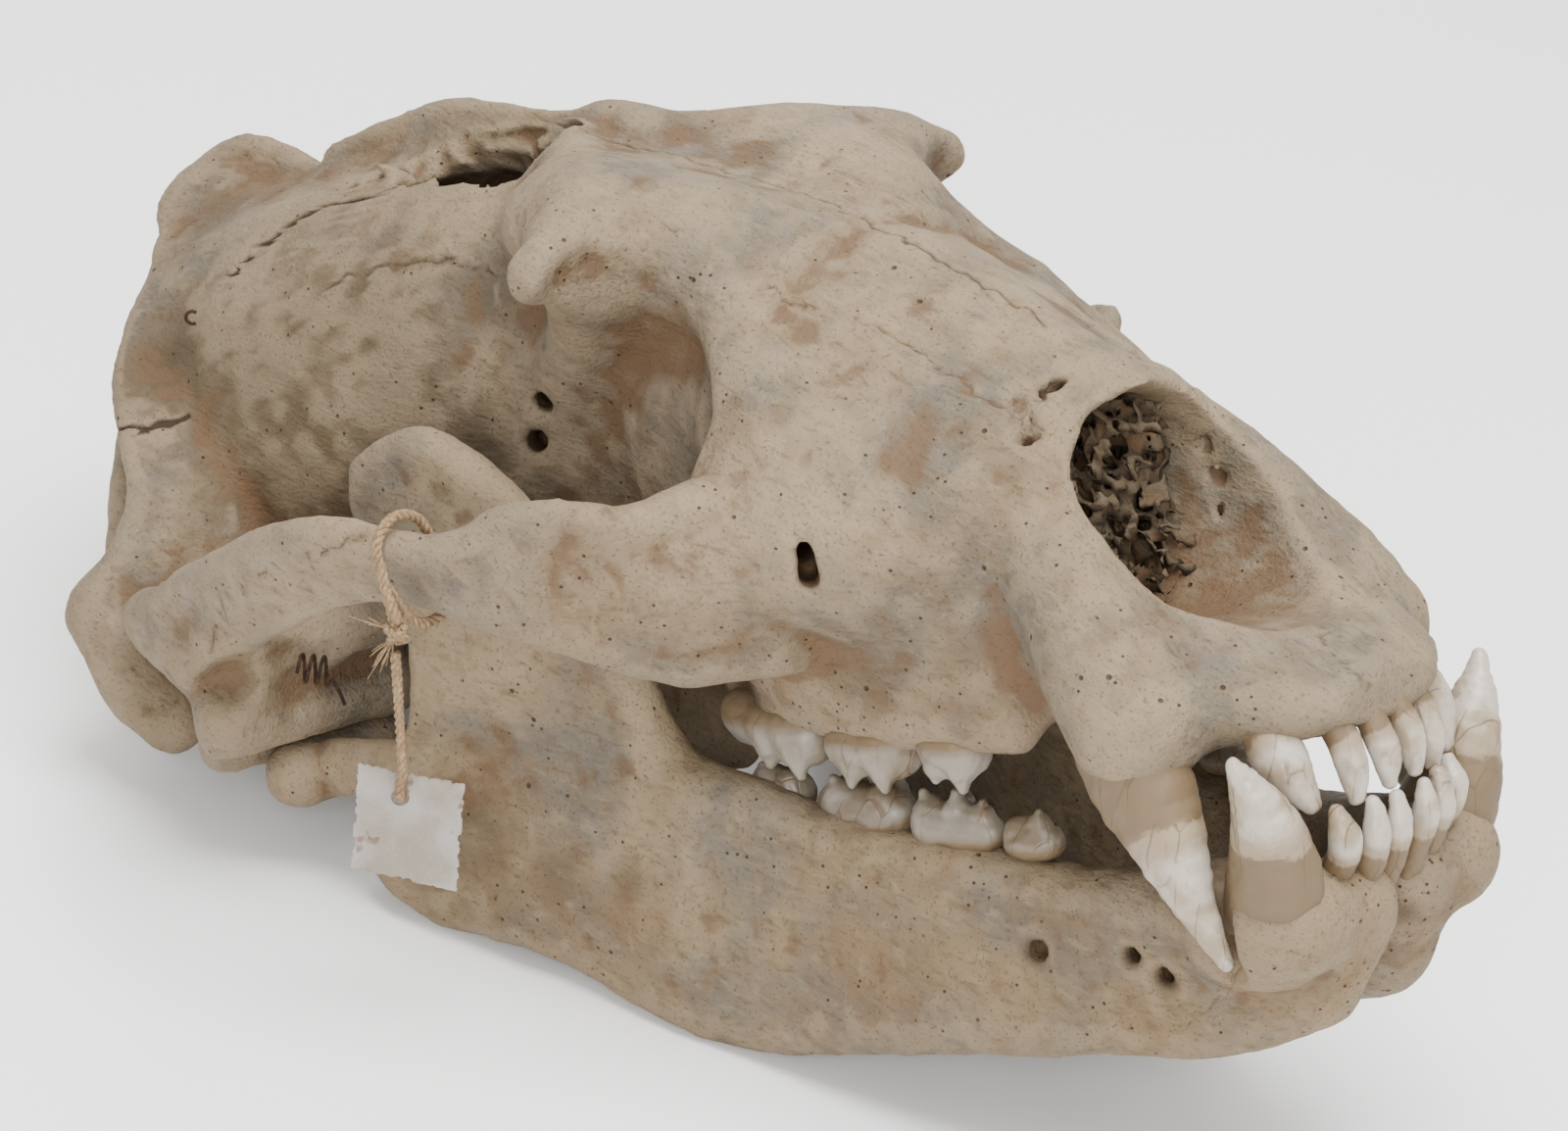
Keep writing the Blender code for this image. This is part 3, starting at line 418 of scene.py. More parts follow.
def vertex_rows(mesh):
    rows = np.empty(3 * len(mesh.vertices))
    mesh.vertices.foreach_get("co", rows)
    return rows.reshape(-1, 3)


def normal_rows(mesh):
    rows = np.empty(3 * len(mesh.vertices))
    mesh.vertex_normals.foreach_get("vector", rows)
    return rows.reshape(-1, 3)


def split_near(mesh, lines, reach, cuts):
    """Divides the faces beside the lines, so that a fine groove has points to lie in."""
    shape = bmesh.new()
    shape.from_mesh(mesh)
    shape.verts.ensure_lookup_table()
    away = distance_to_lines(vertex_rows(mesh), normal_rows(mesh), lines)
    edges = [edge for edge in shape.edges if max(away[end.index] for end in edge.verts) < reach]
    bmesh.ops.subdivide_edges(shape, edges=edges, cuts=cuts, use_grid_fill=True)
    bmesh.ops.triangulate(shape, faces=shape.faces)
    shape.to_mesh(mesh)
    shape.free()


def hollows(mesh, points, normals, rounds):
    """Positive in dents and creases, negative on edges and knobs, in millimetres."""
    ends = np.empty(2 * len(mesh.edges), int)
    mesh.edges.foreach_get("vertices", ends)
    one, two = ends.reshape(-1, 2).T
    count = np.bincount(ends, minlength=len(points))[:, None]
    smooth = points.copy()
    for _ in range(rounds):
        total = np.zeros_like(smooth)
        for axis in range(3):
            total[:, axis] = np.bincount(one, smooth[two, axis], len(points))
            total[:, axis] += np.bincount(two, smooth[one, axis], len(points))
        smooth = total / np.maximum(count, 1)
    return ((smooth - points) * normals).sum(axis=1)


def write_marks(mesh, **marks):
    for label, values in marks.items():
        mesh.attributes.new(label, "FLOAT", "POINT").data.foreach_set("value", values.astype(np.float32))


def in_place(points):
    place = np.array(AT_REST)
    return points @ place[:3, :3].T + place[:3, 3]


def dressed(mesh, places, finish):
    """Gives the mesh its points in metres and its one finish."""
    mesh.vertices.foreach_set("co", places.ravel())
    mesh.materials.clear()
    mesh.materials.append(finish)
    mesh.shade_smooth()
    mesh.update()


def bone_piece(name, points, faces, finish, target, cracks=(), stains=(), shades=(), smudges=(), pores=()):
    """A weathered bone: its swells and cracks go into the mesh, its dirt and rust and its painted shade into
    marks.
    """
    item = thinned(name, points, faces, target)
    mesh = item.data
    split_near(mesh, [line for line, _, _ in cracks], CRACK_SPLIT, 2)
    points = vertex_rows(mesh)
    normals = normal_rows(mesh)
    x, y, z = points.T
    crack = np.zeros(len(points))
    sink = 0.22 * waves(x, y, z, 24.0, 3) + 0.10 * waves(x, y, z, 8.0, 4) + 0.05 * waves(x, y, z, 3.2, 5)
    for line, width, depth in cracks:
        wander = np.stack([waves(x, y, z, 5.0, seed) for seed in (6, 7, 8)], axis=1)
        away = distance_to_lines(points + CRACK_WANDER * wander, normals, [line])
        groove = np.exp(-((away / width) ** 2))
        crack = np.maximum(crack, min(1.0, depth) * groove)
        sink = sink - depth * groove
    points = points + sink[:, None] * normals
    write_marks(
        mesh,
        crack=crack,
        hollow=np.clip(hollows(mesh, points, normals, 5) / 0.30, -1.0, 1.0),
        cavity=np.clip(hollows(mesh, points, normals, 70) / 3.5, -1.0, 1.0),
        stain=spots(points, stains),
        shade=spots(points, shades),
        smudge=spots(points, smudges),
        pores=spots(points, pores),
    )
    places = in_place(points)
    places[:, 2] = 0.5 * (places[:, 2] + np.hypot(places[:, 2], FLOOR_SOFTNESS))
    dressed(mesh, places, finish)
    return item


def add(tree, kind, values=None, **settings):
    """A new node, its inputs set to plain values or linked to other nodes' outputs."""
    made = tree.nodes.new(kind)
    for key, value in settings.items():
        setattr(made, key, value)
    for socket, value in (values or {}).items():
        if isinstance(value, bpy.types.NodeSocket):
            tree.links.new(value, made.inputs[socket])
        else:
            made.inputs[socket].default_value = value
    return made


def grain(tree, where, scale, detail=4.0, stretch=None, twist=0.0):
    """A noise from 0 to 1 at so many swells to the metre, stretched along x, y or z if asked."""
    if stretch:
        where = add(tree, "ShaderNodeMapping", {"Vector": where, "Scale": stretch}).outputs["Vector"]
    values = {"Vector": where, "Scale": scale, "Detail": detail, "Distortion": twist}
    return add(tree, "ShaderNodeTexNoise", values).outputs["Fac"]


def band(tree, value, low, high, start=0.0, end=1.0):
    """Start where the value is low, end where it is high, and smooth between."""
    values = {"Value": value, "From Min": low, "From Max": high, "To Min": start, "To Max": end}
    return add(tree, "ShaderNodeMapRange", values, interpolation_type="SMOOTHSTEP").outputs["Result"]


def tint(tree, share, under, over):
    """The colour under, covered by the colour over to the given share."""
    made = add(tree, "ShaderNodeMix", {"Factor": share}, data_type="RGBA", blend_type="MIX")
    for socket, value in ((made.inputs[6], under), (made.inputs[7], over)):
        if isinstance(value, bpy.types.NodeSocket):
            tree.links.new(value, socket)
        else:
            socket.default_value = (*value, 1.0)
    return made.outputs[2]


def sums(tree, kind, a, b):
    made = add(tree, "ShaderNodeMath", operation=kind)
    for socket, value in ((made.inputs[0], a), (made.inputs[1], b)):
        if isinstance(value, bpy.types.NodeSocket):
            tree.links.new(value, socket)
        else:
            socket.default_value = value
    return made.outputs["Value"]


def mark(tree, label):
    """One of the marks that write_marks left on the mesh."""
    return add(tree, "ShaderNodeAttribute", attribute_name=label).outputs["Fac"]


def new_finish(name):
    """An empty finish with its node tree, its shader and the place of each point."""
    finish = bpy.data.materials.new(name)
    finish.use_nodes = True
    tree = finish.node_tree
    where = add(tree, "ShaderNodeTexCoord").outputs["Object"]
    return finish, tree, tree.nodes["Principled BSDF"], where


def surface_nodes(tree, shader, colour, roughness, relief, strength, depth):
    """Links a finish's colour, roughness and fine relief to its shader."""
    bump = add(tree, "ShaderNodeBump", {"Height": relief, "Strength": strength, "Distance": depth})
    tree.links.new(colour, shader.inputs["Base Color"])
    tree.links.new(roughness, shader.inputs["Roughness"])
    tree.links.new(bump.outputs["Normal"], shader.inputs["Normal"])


def bone_finish(name, cream, tan, grey, rust):
    """Dry old bone: cloudy cream, tan and grey, fine streaks, black pits and rusty patches, with painted
    shade in its creases and hollows and a painted highlight on its edges.
    """
    finish, tree, shader, where = new_finish(name)
    cloud = grain(tree, where, 11.0, 4.0, twist=0.8)
    patch = grain(tree, where, 30.0, 8.0, twist=0.6)
    mottle = grain(tree, where, 170.0, 8.0, twist=0.4)
    streak = grain(tree, where, 430.0, 8.0, (0.40, 1.3, 1.3), 0.8)
    speck = grain(tree, where, 1300.0, 5.0)
    colour = tint(tree, band(tree, cloud, 0.34, 0.66), cream, tan)
    colour = tint(tree, band(tree, patch, 0.40, 0.64, 0.0, 0.90), colour, grey)
    colour = tint(tree, band(tree, mottle, 0.42, 0.74, 0.0, 0.60), colour, tan)
    colour = tint(tree, band(tree, streak, 0.50, 0.78, 0.0, 0.50), colour, DIRT_AND_SHADE)
    colour = tint(tree, band(tree, streak, 0.46, 0.24, 0.0, 0.50), colour, cream)
    stain = sums(tree, "MULTIPLY", mark(tree, "stain"), band(tree, patch, 0.15, 0.70))
    colour = tint(tree, stain, colour, rust)
    rusty = sums(tree, "MULTIPLY", band(tree, grain(tree, where, 47.0, 7.0), 0.57, 0.76), 0.25)
    colour = tint(tree, rusty, colour, rust)
    # Dark smudges: dirt on the jaw, and painted shade over the skull's braincase sides and underside.
    smudge = band(tree, mark(tree, "smudge"), 0.0, 1.0, 0.0, 1.0)
    smudge = sums(tree, "MULTIPLY", smudge, band(tree, patch, 0.15, 0.70, 0.55, 1.0))
    colour = tint(tree, smudge, colour, DIRT_AND_SHADE)
    # Small dents and creases brown, partly dirt and partly painted shade; edges and knobs lighter cream, a
    # painted highlight.
    hollow = mark(tree, "hollow")
    colour = tint(tree, band(tree, hollow, 0.10, 0.9, 0.0, 0.75), colour, DENT_DIRT_AND_SHADE)
    colour = tint(tree, band(tree, hollow, -0.15, -0.9, 0.0, 0.45), colour, cream)
    # Large hollows such as the eye socket darker brown: painted shade.
    colour = tint(tree, band(tree, mark(tree, "cavity"), 0.1, 0.9, 0.0, 0.70), colour, CAVITY_SHADE)
    colour = tint(tree, band(tree, speck, 0.56, 0.70, 0.0, 0.55), colour, DIRT_AND_SHADE)
    pit = 0.0
    for count, share, wide in PIT_SIZES:
        cells = add(tree, "ShaderNodeTexVoronoi", {"Vector": where, "Scale": count})
        own = add(tree, "ShaderNodeSeparateColor", {"Color": cells.outputs["Color"]}).outputs[0]
        chosen = band(tree, sums(tree, "ADD", own, mark(tree, "pores")), 1.0 - share, 1.02 - share)
        dot = sums(tree, "MULTIPLY", band(tree, cells.outputs["Distance"], wide, 0.4 * wide), chosen)
        pit = sums(tree, "MAXIMUM", pit, dot)
    colour = tint(tree, sums(tree, "MULTIPLY", pit, 0.85), colour, PIT_BLACK)
    colour = tint(tree, band(tree, mark(tree, "crack"), 0.10, 0.7, 0.0, 0.95), colour, PIT_BLACK)
    colour = tint(tree, band(tree, mark(tree, "shade"), 0.0, 1.0, 0.0, 0.95), colour, SHADE_BLACK)
    roughness = band(tree, mottle, 0.3, 0.7, 0.62, 0.84)
    relief = sums(tree, "MULTIPLY", streak, 0.55)
    relief = sums(tree, "ADD", relief, sums(tree, "MULTIPLY", speck, 0.30))
    relief = sums(tree, "ADD", relief, sums(tree, "MULTIPLY", mottle, 0.75))
    relief = sums(tree, "SUBTRACT", relief, pit)
    surface_nodes(tree, shader, colour, roughness, relief, 0.85, 0.0011)
    shader.inputs["Specular IOR Level"].default_value = 0.18
    return finish


def jaw_bone():
    """The right half of the lower jaw."""
    clay = Clay((76, -104, -76), (338, 4, 80), BONE_STEP)
    clay.add(plate(
        [(118, -65, -38, 4), (136, -62, -40, 5), (154, -55, -46, 7), (171, -51, -54, 8),
         (185, -46.5, -58.5, 8.5), (210, -42, -58.5, 8.5), (241, -36, -57, 8.5), (272, -28, -56, 8.5),
         (294, -19, -56, 9), (310, -11, -50, 10)],
        [(122, -65, -20, 4), (140, -60, -16, 5), (160, -55, -12, 5), (178, -50, -10, 6), (196, -44, -16, 7),
         (216, -39, -24, 7), (241, -34, -28, 7), (266, -30, -32, 7), (290, -25, -33, 8.5),
         (306, -20, -33, 9)],
        26,
    ), 3)
    clay.add(limb([(298, -21, -36, 11), (311, -25, -35, 12.3), (318.5, -22.5, -33, 11.5)]), 5)
    clay.add(limb([(298, -14, -49, 10), (313, -10.5, -42, 11), (320, -9, -34, 9.5)]), 5)
    clay.add(plate(
        [(180, -50, -12, 5), (175, -53, 6, 4.2), (169, -56.5, 28, 4), (156, -61, 48, 3.5),
         (144, -64, 60, 3.5), (134, -66, 65, 3.2), (126, -68, 64, 3)],
        [(118, -68, -10, 4), (122, -68, 2, 3.2), (126, -68, 16, 3), (126, -68, 28, 3), (122, -69, 42, 3),
         (118, -70, 52, 3), (119, -69.5, 60, 3)],
        22,
    ), 4)
    clay.add(plate(
        [(186, -50, -12, 5), (170, -54, -18, 4), (150, -60, -16, 4), (124, -67, -14, 4)],
        [(178, -52, -44, 6), (160, -55, -40, 5), (140, -60, -34, 4.5), (114, -67, -30, 4)],
    ), 4)
    clay.add(limb([(191, -45, -18, 7), (181, -49, -8, 5), (176, -52, 4, 4.4), (174, -54.5, 18, 4.2),
                   (164, -58.5, 38, 4.2), (151, -63, 55, 3.8), (136, -66.5, 65, 3.2)]), 4)
    clay.add(limb([(138, -64, -6, 4.5), (120, -68, -5, 5), (104, -69, -6, 6), (94, -69, -7, 6.5)]), 5)
    clay.add(limb([(HINGE_X, -52, HINGE_Z, CONDYLE_RADIUS), (HINGE_X, -75, HINGE_Z, CONDYLE_RADIUS)]), 1)
    clay.add(limb([(130, -63, -34, 5), (119, -66, -34, 5), (110, -69, -31, 4.5), (106, -70, -26, 3.5)]), 5)
    clay.cut(ball((150, -78, -4), (24, 14, 20), (0, -20, -14)), 4)
    clay.cut(limb([(299, -40, -8, 10.8), (305, -38.5, -24, 7.6), (309.5, -36, -43, 4.2)]), 2)
    clay.cut(limb([(264, -52, -41, 2.2), (262, -34, -41, 2.0)]), 0.6)
    clay.cut(limb([(285, -48, -41, 2.0), (283, -28, -41, 1.8)]), 0.6)
    clay.cut(limb([(292, -46, -46, 2.2), (289, -27, -45, 2.0)]), 0.6)
    for x, z, size in CHIN_PORES:
        clay.cut(rough(ball((x, -0.5 * (CHIN_FRONT_X - x), z), (size, 1.3 * size, size)), 0.3, 3.0, 11), 0.4)
    clay.cut(rough(limb([(338, -0.6, -24, 1.6), (330, -0.4, -36, 1.3), (322, -0.4, -50, 1.5),
                         (306, -0.3, -62, 1.0)]),
                   0.7, 4.0, 12), 0.8)
    clay.keep(lambda x, y, z: y + CHIN_GAP + 0 * x + 0 * z)
    return clay


JAW_CREAM = (0.226, 0.172, 0.108)
JAW_TAN = (0.165, 0.116, 0.066)
JAW_GREY = (0.108, 0.093, 0.073)
JAW_RUST = (0.128, 0.070, 0.028)
JAW_TRIANGLES = 90000
JAW_CRACKS = (
    (((292, -34, -58), (298, -31, -52), (306, -31, -46), (311, -31, -40)), 0.35, 0.35),
    (((262, -36, -52), (250, -38, -56), (236, -40, -57)), 0.30, 0.25),
    (((206, -42, -20), (196, -47, -24), (190, -51, -33)), 0.30, 0.25),
)
JAW_STAINS = (
    (133, -68, -19, 20, 0.75), (112, -69, -30, 18, 0.8), (150, -62, -28, 14, 0.5), (118, -68, 4, 14, 0.4),
    (170, -58, -36, 12, 0.7), (268, -36, -28, 14, 0.35), (226, -46, -48, 16, 0.5), (322, -12, -46, 14, 0.7),
    (312, -24, -44, 10, 0.5), (96, -68, -14, 14, 0.7), (300, -30, -34, 9, 0.5), (240, -38, -24, 9, 0.5),
    (212, -42, -22, 10, 0.5), (210, -44, -58, 10, 0.6), (282, -30, -55, 8, 0.5),
)
JAW_SMUDGES = (
    (133, -66, -20, 15, 0.75), (120, -67, -32, 11, 0.6), (152, -60, -30, 10, 0.5), (170, -57, -28, 6, 0.6),
    (182, -50, -10, 8, 0.3), (300, -24, -34, 10, 0.3), (262, -36, -30, 24, 0.22), (236, -40, -50, 24, 0.2),
)
JAW_SHADES = (
    (262, -38, -41, 4.2, 0.9), (283, -32, -41, 3.8, 0.9), (290, -30, -45.5, 4.2, 0.9), (326, -2, -44, 3, 0.5),
    (196, -40, -12, 6, 0.25), (130, -66, -34, 5, 0.35), (329, 0, -30, 4.5, 0.8), (326, 0, -40, 4.5, 0.9),
    (321, 0, -50, 4.5, 0.9), (313, 0, -58, 4.5, 0.8),
)
JAW_PORES = (
    (322, -8, -42, 14, 0.7), (314, -12, -54, 12, 0.6), (300, -30, -36, 10, 0.25), (240, -36, -30, 26, 0.12),
    (150, -62, -30, 30, 0.10),
)

right_points, right_faces = largest_body(*jaw_bone().surface())
left_points, left_faces = mirrored(right_points, right_faces)
jaw_look = bone_finish("jaw_bone", JAW_CREAM, JAW_TAN, JAW_GREY, JAW_RUST)


def other_side(places):
    return [(x, -y, z, *rest) for x, y, z, *rest in places]


for side, points, faces in (("right", right_points, right_faces), ("left", left_points, left_faces)):
    marks = [JAW_STAINS, JAW_SHADES, JAW_SMUDGES, JAW_PORES]
    cracks = JAW_CRACKS
    if side == "left":
        marks = [other_side(places) for places in marks]
        cracks = [(other_side(line), wide, deep) for line, wide, deep in JAW_CRACKS]
    jaw = bone_piece(f"jaw_bone_{side}", points, faces, jaw_look, JAW_TRIANGLES, cracks, *marks)
    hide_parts(f"mandible_{side}")
    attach(jaw, "lower_jaw")

# The lower teeth: worn enamel crowns in bone sockets. Each is a separate tooth, tan and
# rough at the neck where the root shows, and white to cream with fine long cracks above.
TOOTH_STEP = 0.45
FANG_FLATNESS = 1.25
ENAMEL_WHITE = (0.40, 0.355, 0.295)
ENAMEL_CREAM = (0.25, 0.19, 0.122)
CHEEK_WHITE = (0.195, 0.168, 0.134)
CHEEK_CREAM = (0.140, 0.106, 0.068)
NECK_TAN = (0.125, 0.082, 0.040)


def crown_clay(low, high):
    return Clay(np.array(low) - 4, np.array(high) + 4, TOOTH_STEP)


def canine(points, flat):
    """A curved peg, its sides pressed flat by the given factor."""
    rows = np.array(points, float)
    middle = float(rows[:, 1].mean())
    rows[:, 1] = middle + (rows[:, 1] - middle) * flat
    distance, low, high = limb(rows, 14)
    clay = crown_clay(low, high)
    clay.add(((lambda x, y, z: distance(x, middle + (y - middle) * flat, z) / flat**0.5), low, high))
    return clay


def cheek_tooth(cusps, waist):
    """A row of cusps on a broad waist, with the root's stump in the bone."""
    rows = np.array([*cusps, *waist], float)
    clay = crown_clay((rows[:, :3] - rows[:, 3:]).min(axis=0), (rows[:, :3] + rows[:, 3:]).max(axis=0))
    clay.add(limb(waist, 8))
    middle = np.array(waist, float).mean(axis=0)
    for x, y, z, radius in cusps:
        root = (0.7 * x + 0.3 * middle[0], 0.6 * y + 0.4 * middle[1], middle[2], radius + 3.4)
        clay.add(limb([root, (x, y, z, 0.7 * radius)], 3), 1.8)
    return clay


LOWER_TEETH = {
    "incisor_1": ("peg", [(323, -3.6, -34, 2.2), (328.5, -3.9, -24, 2.7), (331, -4.2, -18, 2.6),
                          (331, -4.2, -13, 1.5)]),
    "incisor_2": ("peg", [(321, -8.6, -34, 2.3), (327.5, -9.8, -24, 2.9), (330, -10.2, -18, 2.8),
                          (330, -10.2, -12.5, 1.6)]),
    "incisor_3": ("peg", [(317, -13, -32, 2.5), (325, -15.8, -23, 3.3), (327.5, -17, -17.5, 3.3),
                          (327, -17.6, -12.5, 1.7)]),
    "canine": ("fang", [(303, -21, -42, 7.5), (316.5, -27, -27, 10.2), (320.5, -30.6, -15, 8.3),
                        (321.5, -35.2, -5, 4.8), (321, -38.8, 2.5, 1.7)]),
    "premolar_4": ("cheek", [(261, -30, -14.5, 1.2), (256, -30.5, -17, 1.2)],
                   [(263, -30, -20.5, 3), (255.5, -30.5, -19.5, 3.4)]),
    "molar_1": ("cheek", [(248, -32, -13, 1.3), (242, -33, -11, 1.4), (234, -34, -11.5, 1.6),
                          (240, -28.5, -12, 1.4)],
                [(248, -31.5, -19.5, 3.8), (234.5, -32.8, -18, 4.9)]),
    "molar_2": ("cheek", [(224, -35.5, -10.5, 1.7), (212, -37, -9.5, 1.7), (223, -29.5, -10.5, 1.8),
                          (211, -31, -9.5, 1.8)],
                [(224, -33.2, -17, 5.3), (211.5, -34.6, -15.5, 5.3)]),
    "molar_3": ("cheek", [(200, -38, -9.4, 1.6), (194, -39, -7.6, 1.6)],
                [(200, -36.5, -13.6, 4.4), (194.5, -37.5, -11.6, 4.0)]),
}


def enamel_finish(name, white, cream, neck):
    """Old enamel over dentine: a tan neck, an uneven edge, clouded white, and long hairline cracks."""
    finish, tree, shader, where = new_finish(name)
    cloud = grain(tree, where, 90.0, 4.0)
    fine = grain(tree, where, 520.0, 4.0, (1.6, 1.6, 0.5))
    crown = mark(tree, "crown")
    uneven = sums(tree, "ADD", crown, sums(tree, "MULTIPLY", sums(tree, "SUBTRACT", cloud, 0.5), 0.30))
    colour = tint(tree, band(tree, cloud, 0.40, 0.62), white, cream)
    colour = tint(tree, band(tree, uneven, 0.34, 0.16), colour, cream)
    colour = tint(tree, band(tree, uneven, 0.14, 0.08), colour, neck)
    colour = tint(tree, band(tree, fine, 0.58, 0.76, 0.0, 0.30), colour, neck)
    cracks = add(tree, "ShaderNodeMapping", {"Vector": where, "Scale": (1.0, 1.0, 0.16)})
    cells = {"Vector": cracks.outputs["Vector"], "Scale": 170.0}
    edges = add(tree, "ShaderNodeTexVoronoi", cells, feature="DISTANCE_TO_EDGE").outputs["Distance"]
    line = sums(tree, "MULTIPLY", band(tree, edges, 0.035, 0.008), band(tree, cloud, 0.42, 0.60))
    colour = tint(tree, sums(tree, "MULTIPLY", line, 0.65), colour, (0.09, 0.05, 0.028))
    # Brown in the tooth's dents and creases: partly dirt, partly painted shade.
    colour = tint(tree, band(tree, mark(tree, "hollow"), 0.15, 0.9, 0.0, 0.75), colour, (0.10, 0.055, 0.028))
    roughness = band(tree, crown, 0.0, 0.5, 0.62, 0.34)
    relief = sums(tree, "SUBTRACT", sums(tree, "MULTIPLY", fine, 0.35), line)
    surface_nodes(tree, shader, colour, roughness, relief, 0.4, 0.0003)
    return finish


enamel_look = enamel_finish("tooth_enamel", ENAMEL_WHITE, ENAMEL_CREAM, NECK_TAN)
cheek_look = enamel_finish("cheek_enamel", CHEEK_WHITE, CHEEK_CREAM, NECK_TAN)
NECK_SHARE = {"peg": 0.33, "fang": 0.46}
CROWN_STEPS = 40
GUM_SHARE = 0.45
TOOTH_TRIANGLES = {"peg": 4200, "fang": 16000, "cheek": 9000}


def crown_share(kind, recipe, points):
    """From 0 at the gum line to 1 at the tip of the crown."""
    if kind != "cheek":
        path = smooth_path(recipe[0], CROWN_STEPS)[:, :3]
        nearest = np.linalg.norm(points[:, None] - path[None], axis=2).argmin(axis=1)
        return (nearest / (CROWN_STEPS - 1.0) - NECK_SHARE[kind]) / (1.0 - NECK_SHARE[kind])
    tips = np.array(recipe[0])
    waist = np.array(recipe[1])
    tip = tips[:, 2].mean()
    gum = waist[:, 2].mean() - GUM_SHARE * (tip - waist[:, 2].mean())
    return (points[:, 2] - gum) / (tip - gum)


def tooth_piece(name, kind, recipe, points, faces, seed):
    """One tooth, its enamel faintly ridged and the tip slightly worn."""
    item = thinned(name, points, faces, TOOTH_TRIANGLES[kind])
    mesh = item.data
    points = vertex_rows(mesh)
    normals = normal_rows(mesh)
    x, y, z = points.T
    own = points * np.array([1.0, -1.0, 1.0]) if y.mean() > 0 else points
    crown = crown_share(kind, recipe, own)
    ridges = 0.10 * waves(x, y, z, 6.0, seed) + 0.04 * waves(x, y, z, 2.0, seed + 1)
    points = points + ridges[:, None] * normals
    write_marks(mesh, crown=crown, hollow=np.clip(hollows(mesh, points, normals, 8) / 0.35, -1.0, 1.0))
    dressed(mesh, in_place(points), cheek_look if kind == "cheek" else enamel_look)
    return item


def tooth_row(row, recipes, body):
    for order, (label, (kind, *recipe)) in enumerate(recipes.items()):
        if kind == "cheek":
            clay = cheek_tooth(*recipe)
        else:
            clay = canine(recipe[0], FANG_FLATNESS if kind == "fang" else 1.0)
        points, faces = largest_body(*clay.surface())
        for side in ("right", "left"):
            shape = (points, faces) if side == "right" else mirrored(points, faces)
            tooth = tooth_piece(f"enamel_{row}_{side}_{label}", kind, recipe, *shape, 20 + order)
            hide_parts(f"{row}_{side}_{label}")
            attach(tooth, body)


tooth_row("lower", LOWER_TEETH, "lower_jaw")

# The upper skull: one dry bone with the braincase behind, the cheekbones arching out at the
# sides and the snout in front. It is hollow, and broken open on top beside the crest. It
# rests on the lower jaw by the two joints under the cheekbones' roots.
JOINT_GAP = 0.7
FACE_PORES = (
    (304, -37.5, 22, 0.8), (298, -41, 17, 0.7), (309, -32, 19, 0.8), (315, -24, 14, 0.7), (292, -44, 11, 0.7),
    (300, -36, 27, 0.6), (318, -18, 13, 0.7), (286, -42, 24, 0.7), (246, -44, 12, 0.8), (236, -46, 10, 0.8),
)


def smooth_values(stations, x):
    """Each column of the stations, read smoothly at the places x along their first column."""
    table = np.array(stations, float)
    places = table[:, 0]
    x = np.clip(x, places[0], places[-1])
    slot = np.clip(np.searchsorted(places, x) - 1, 0, len(places) - 2)
    slopes = np.gradient(table, places, axis=0)
    width = (places[slot + 1] - places[slot])[:, None]
    t = (x[:, None] - places[slot][:, None]) / width
    near = table[slot] * (1 + 2 * t) * (1 - t) ** 2 + table[slot + 1] * t**2 * (3 - 2 * t)
    return near + width * (slopes[slot] * t * (1 - t) ** 2 - slopes[slot + 1] * t**2 * (1 - t))


def hull(stations):
    """A long body from sections (x, half width, height of the widest line, top, bottom, squareness)."""
    rows = np.array(stations, float)
    low = np.array([rows[0, 0], -rows[:, 1].max(), rows[:, 4].min()])
    high = np.array([rows[-1, 0], rows[:, 1].max(), rows[:, 3].max()])

    def distance(x, y, z):
        sections = smooth_values(stations, x.ravel())[:, :, None, None]
        wide, level, top, bottom, power = (sections[:, k] for k in range(1, 6))
        rise = np.where(z > level, top - level, level - bottom)
        size = (np.abs(y) / wide) ** power + (np.abs(z - level) / rise) ** power
        near = np.maximum(size, 1e-6) ** (1 / power)
        steps = [float(np.diff(axis.ravel()).mean()) for axis in (x, y, z)]
        slopes = np.gradient(near, *steps)
        steep = np.sqrt(sum(slope**2 for slope in slopes))
        found = (near - 1) / np.maximum(steep, 0.2 / wide)
        return np.maximum(found, np.maximum(rows[0, 0] - x, x - rows[-1, 0]))

    return distance, low, high


def braincase(clay):
    """The swollen rear of the skull, drawn in behind the eyes."""
    clay.add(hull([
        (2, 30, 62, 98, 22, 2.2),
        (14, 45, 60, 103, 16, 2.3),
        (32, 53, 58, 108, 13, 2.3),
        (60, 56, 60, 112, 12, 2.3),
        (85, 54, 63, 115, 12, 2.2),
        (108, 48, 66, 117, 14, 2.2),
        (128, 39, 68, 116, 18, 2.3),
        (148, 33, 70, 114, 22, 2.5),
        (175, 32, 66, 110, 18, 2.7),
        (205, 34, 60, 98, 8, 2.8),
    ]))


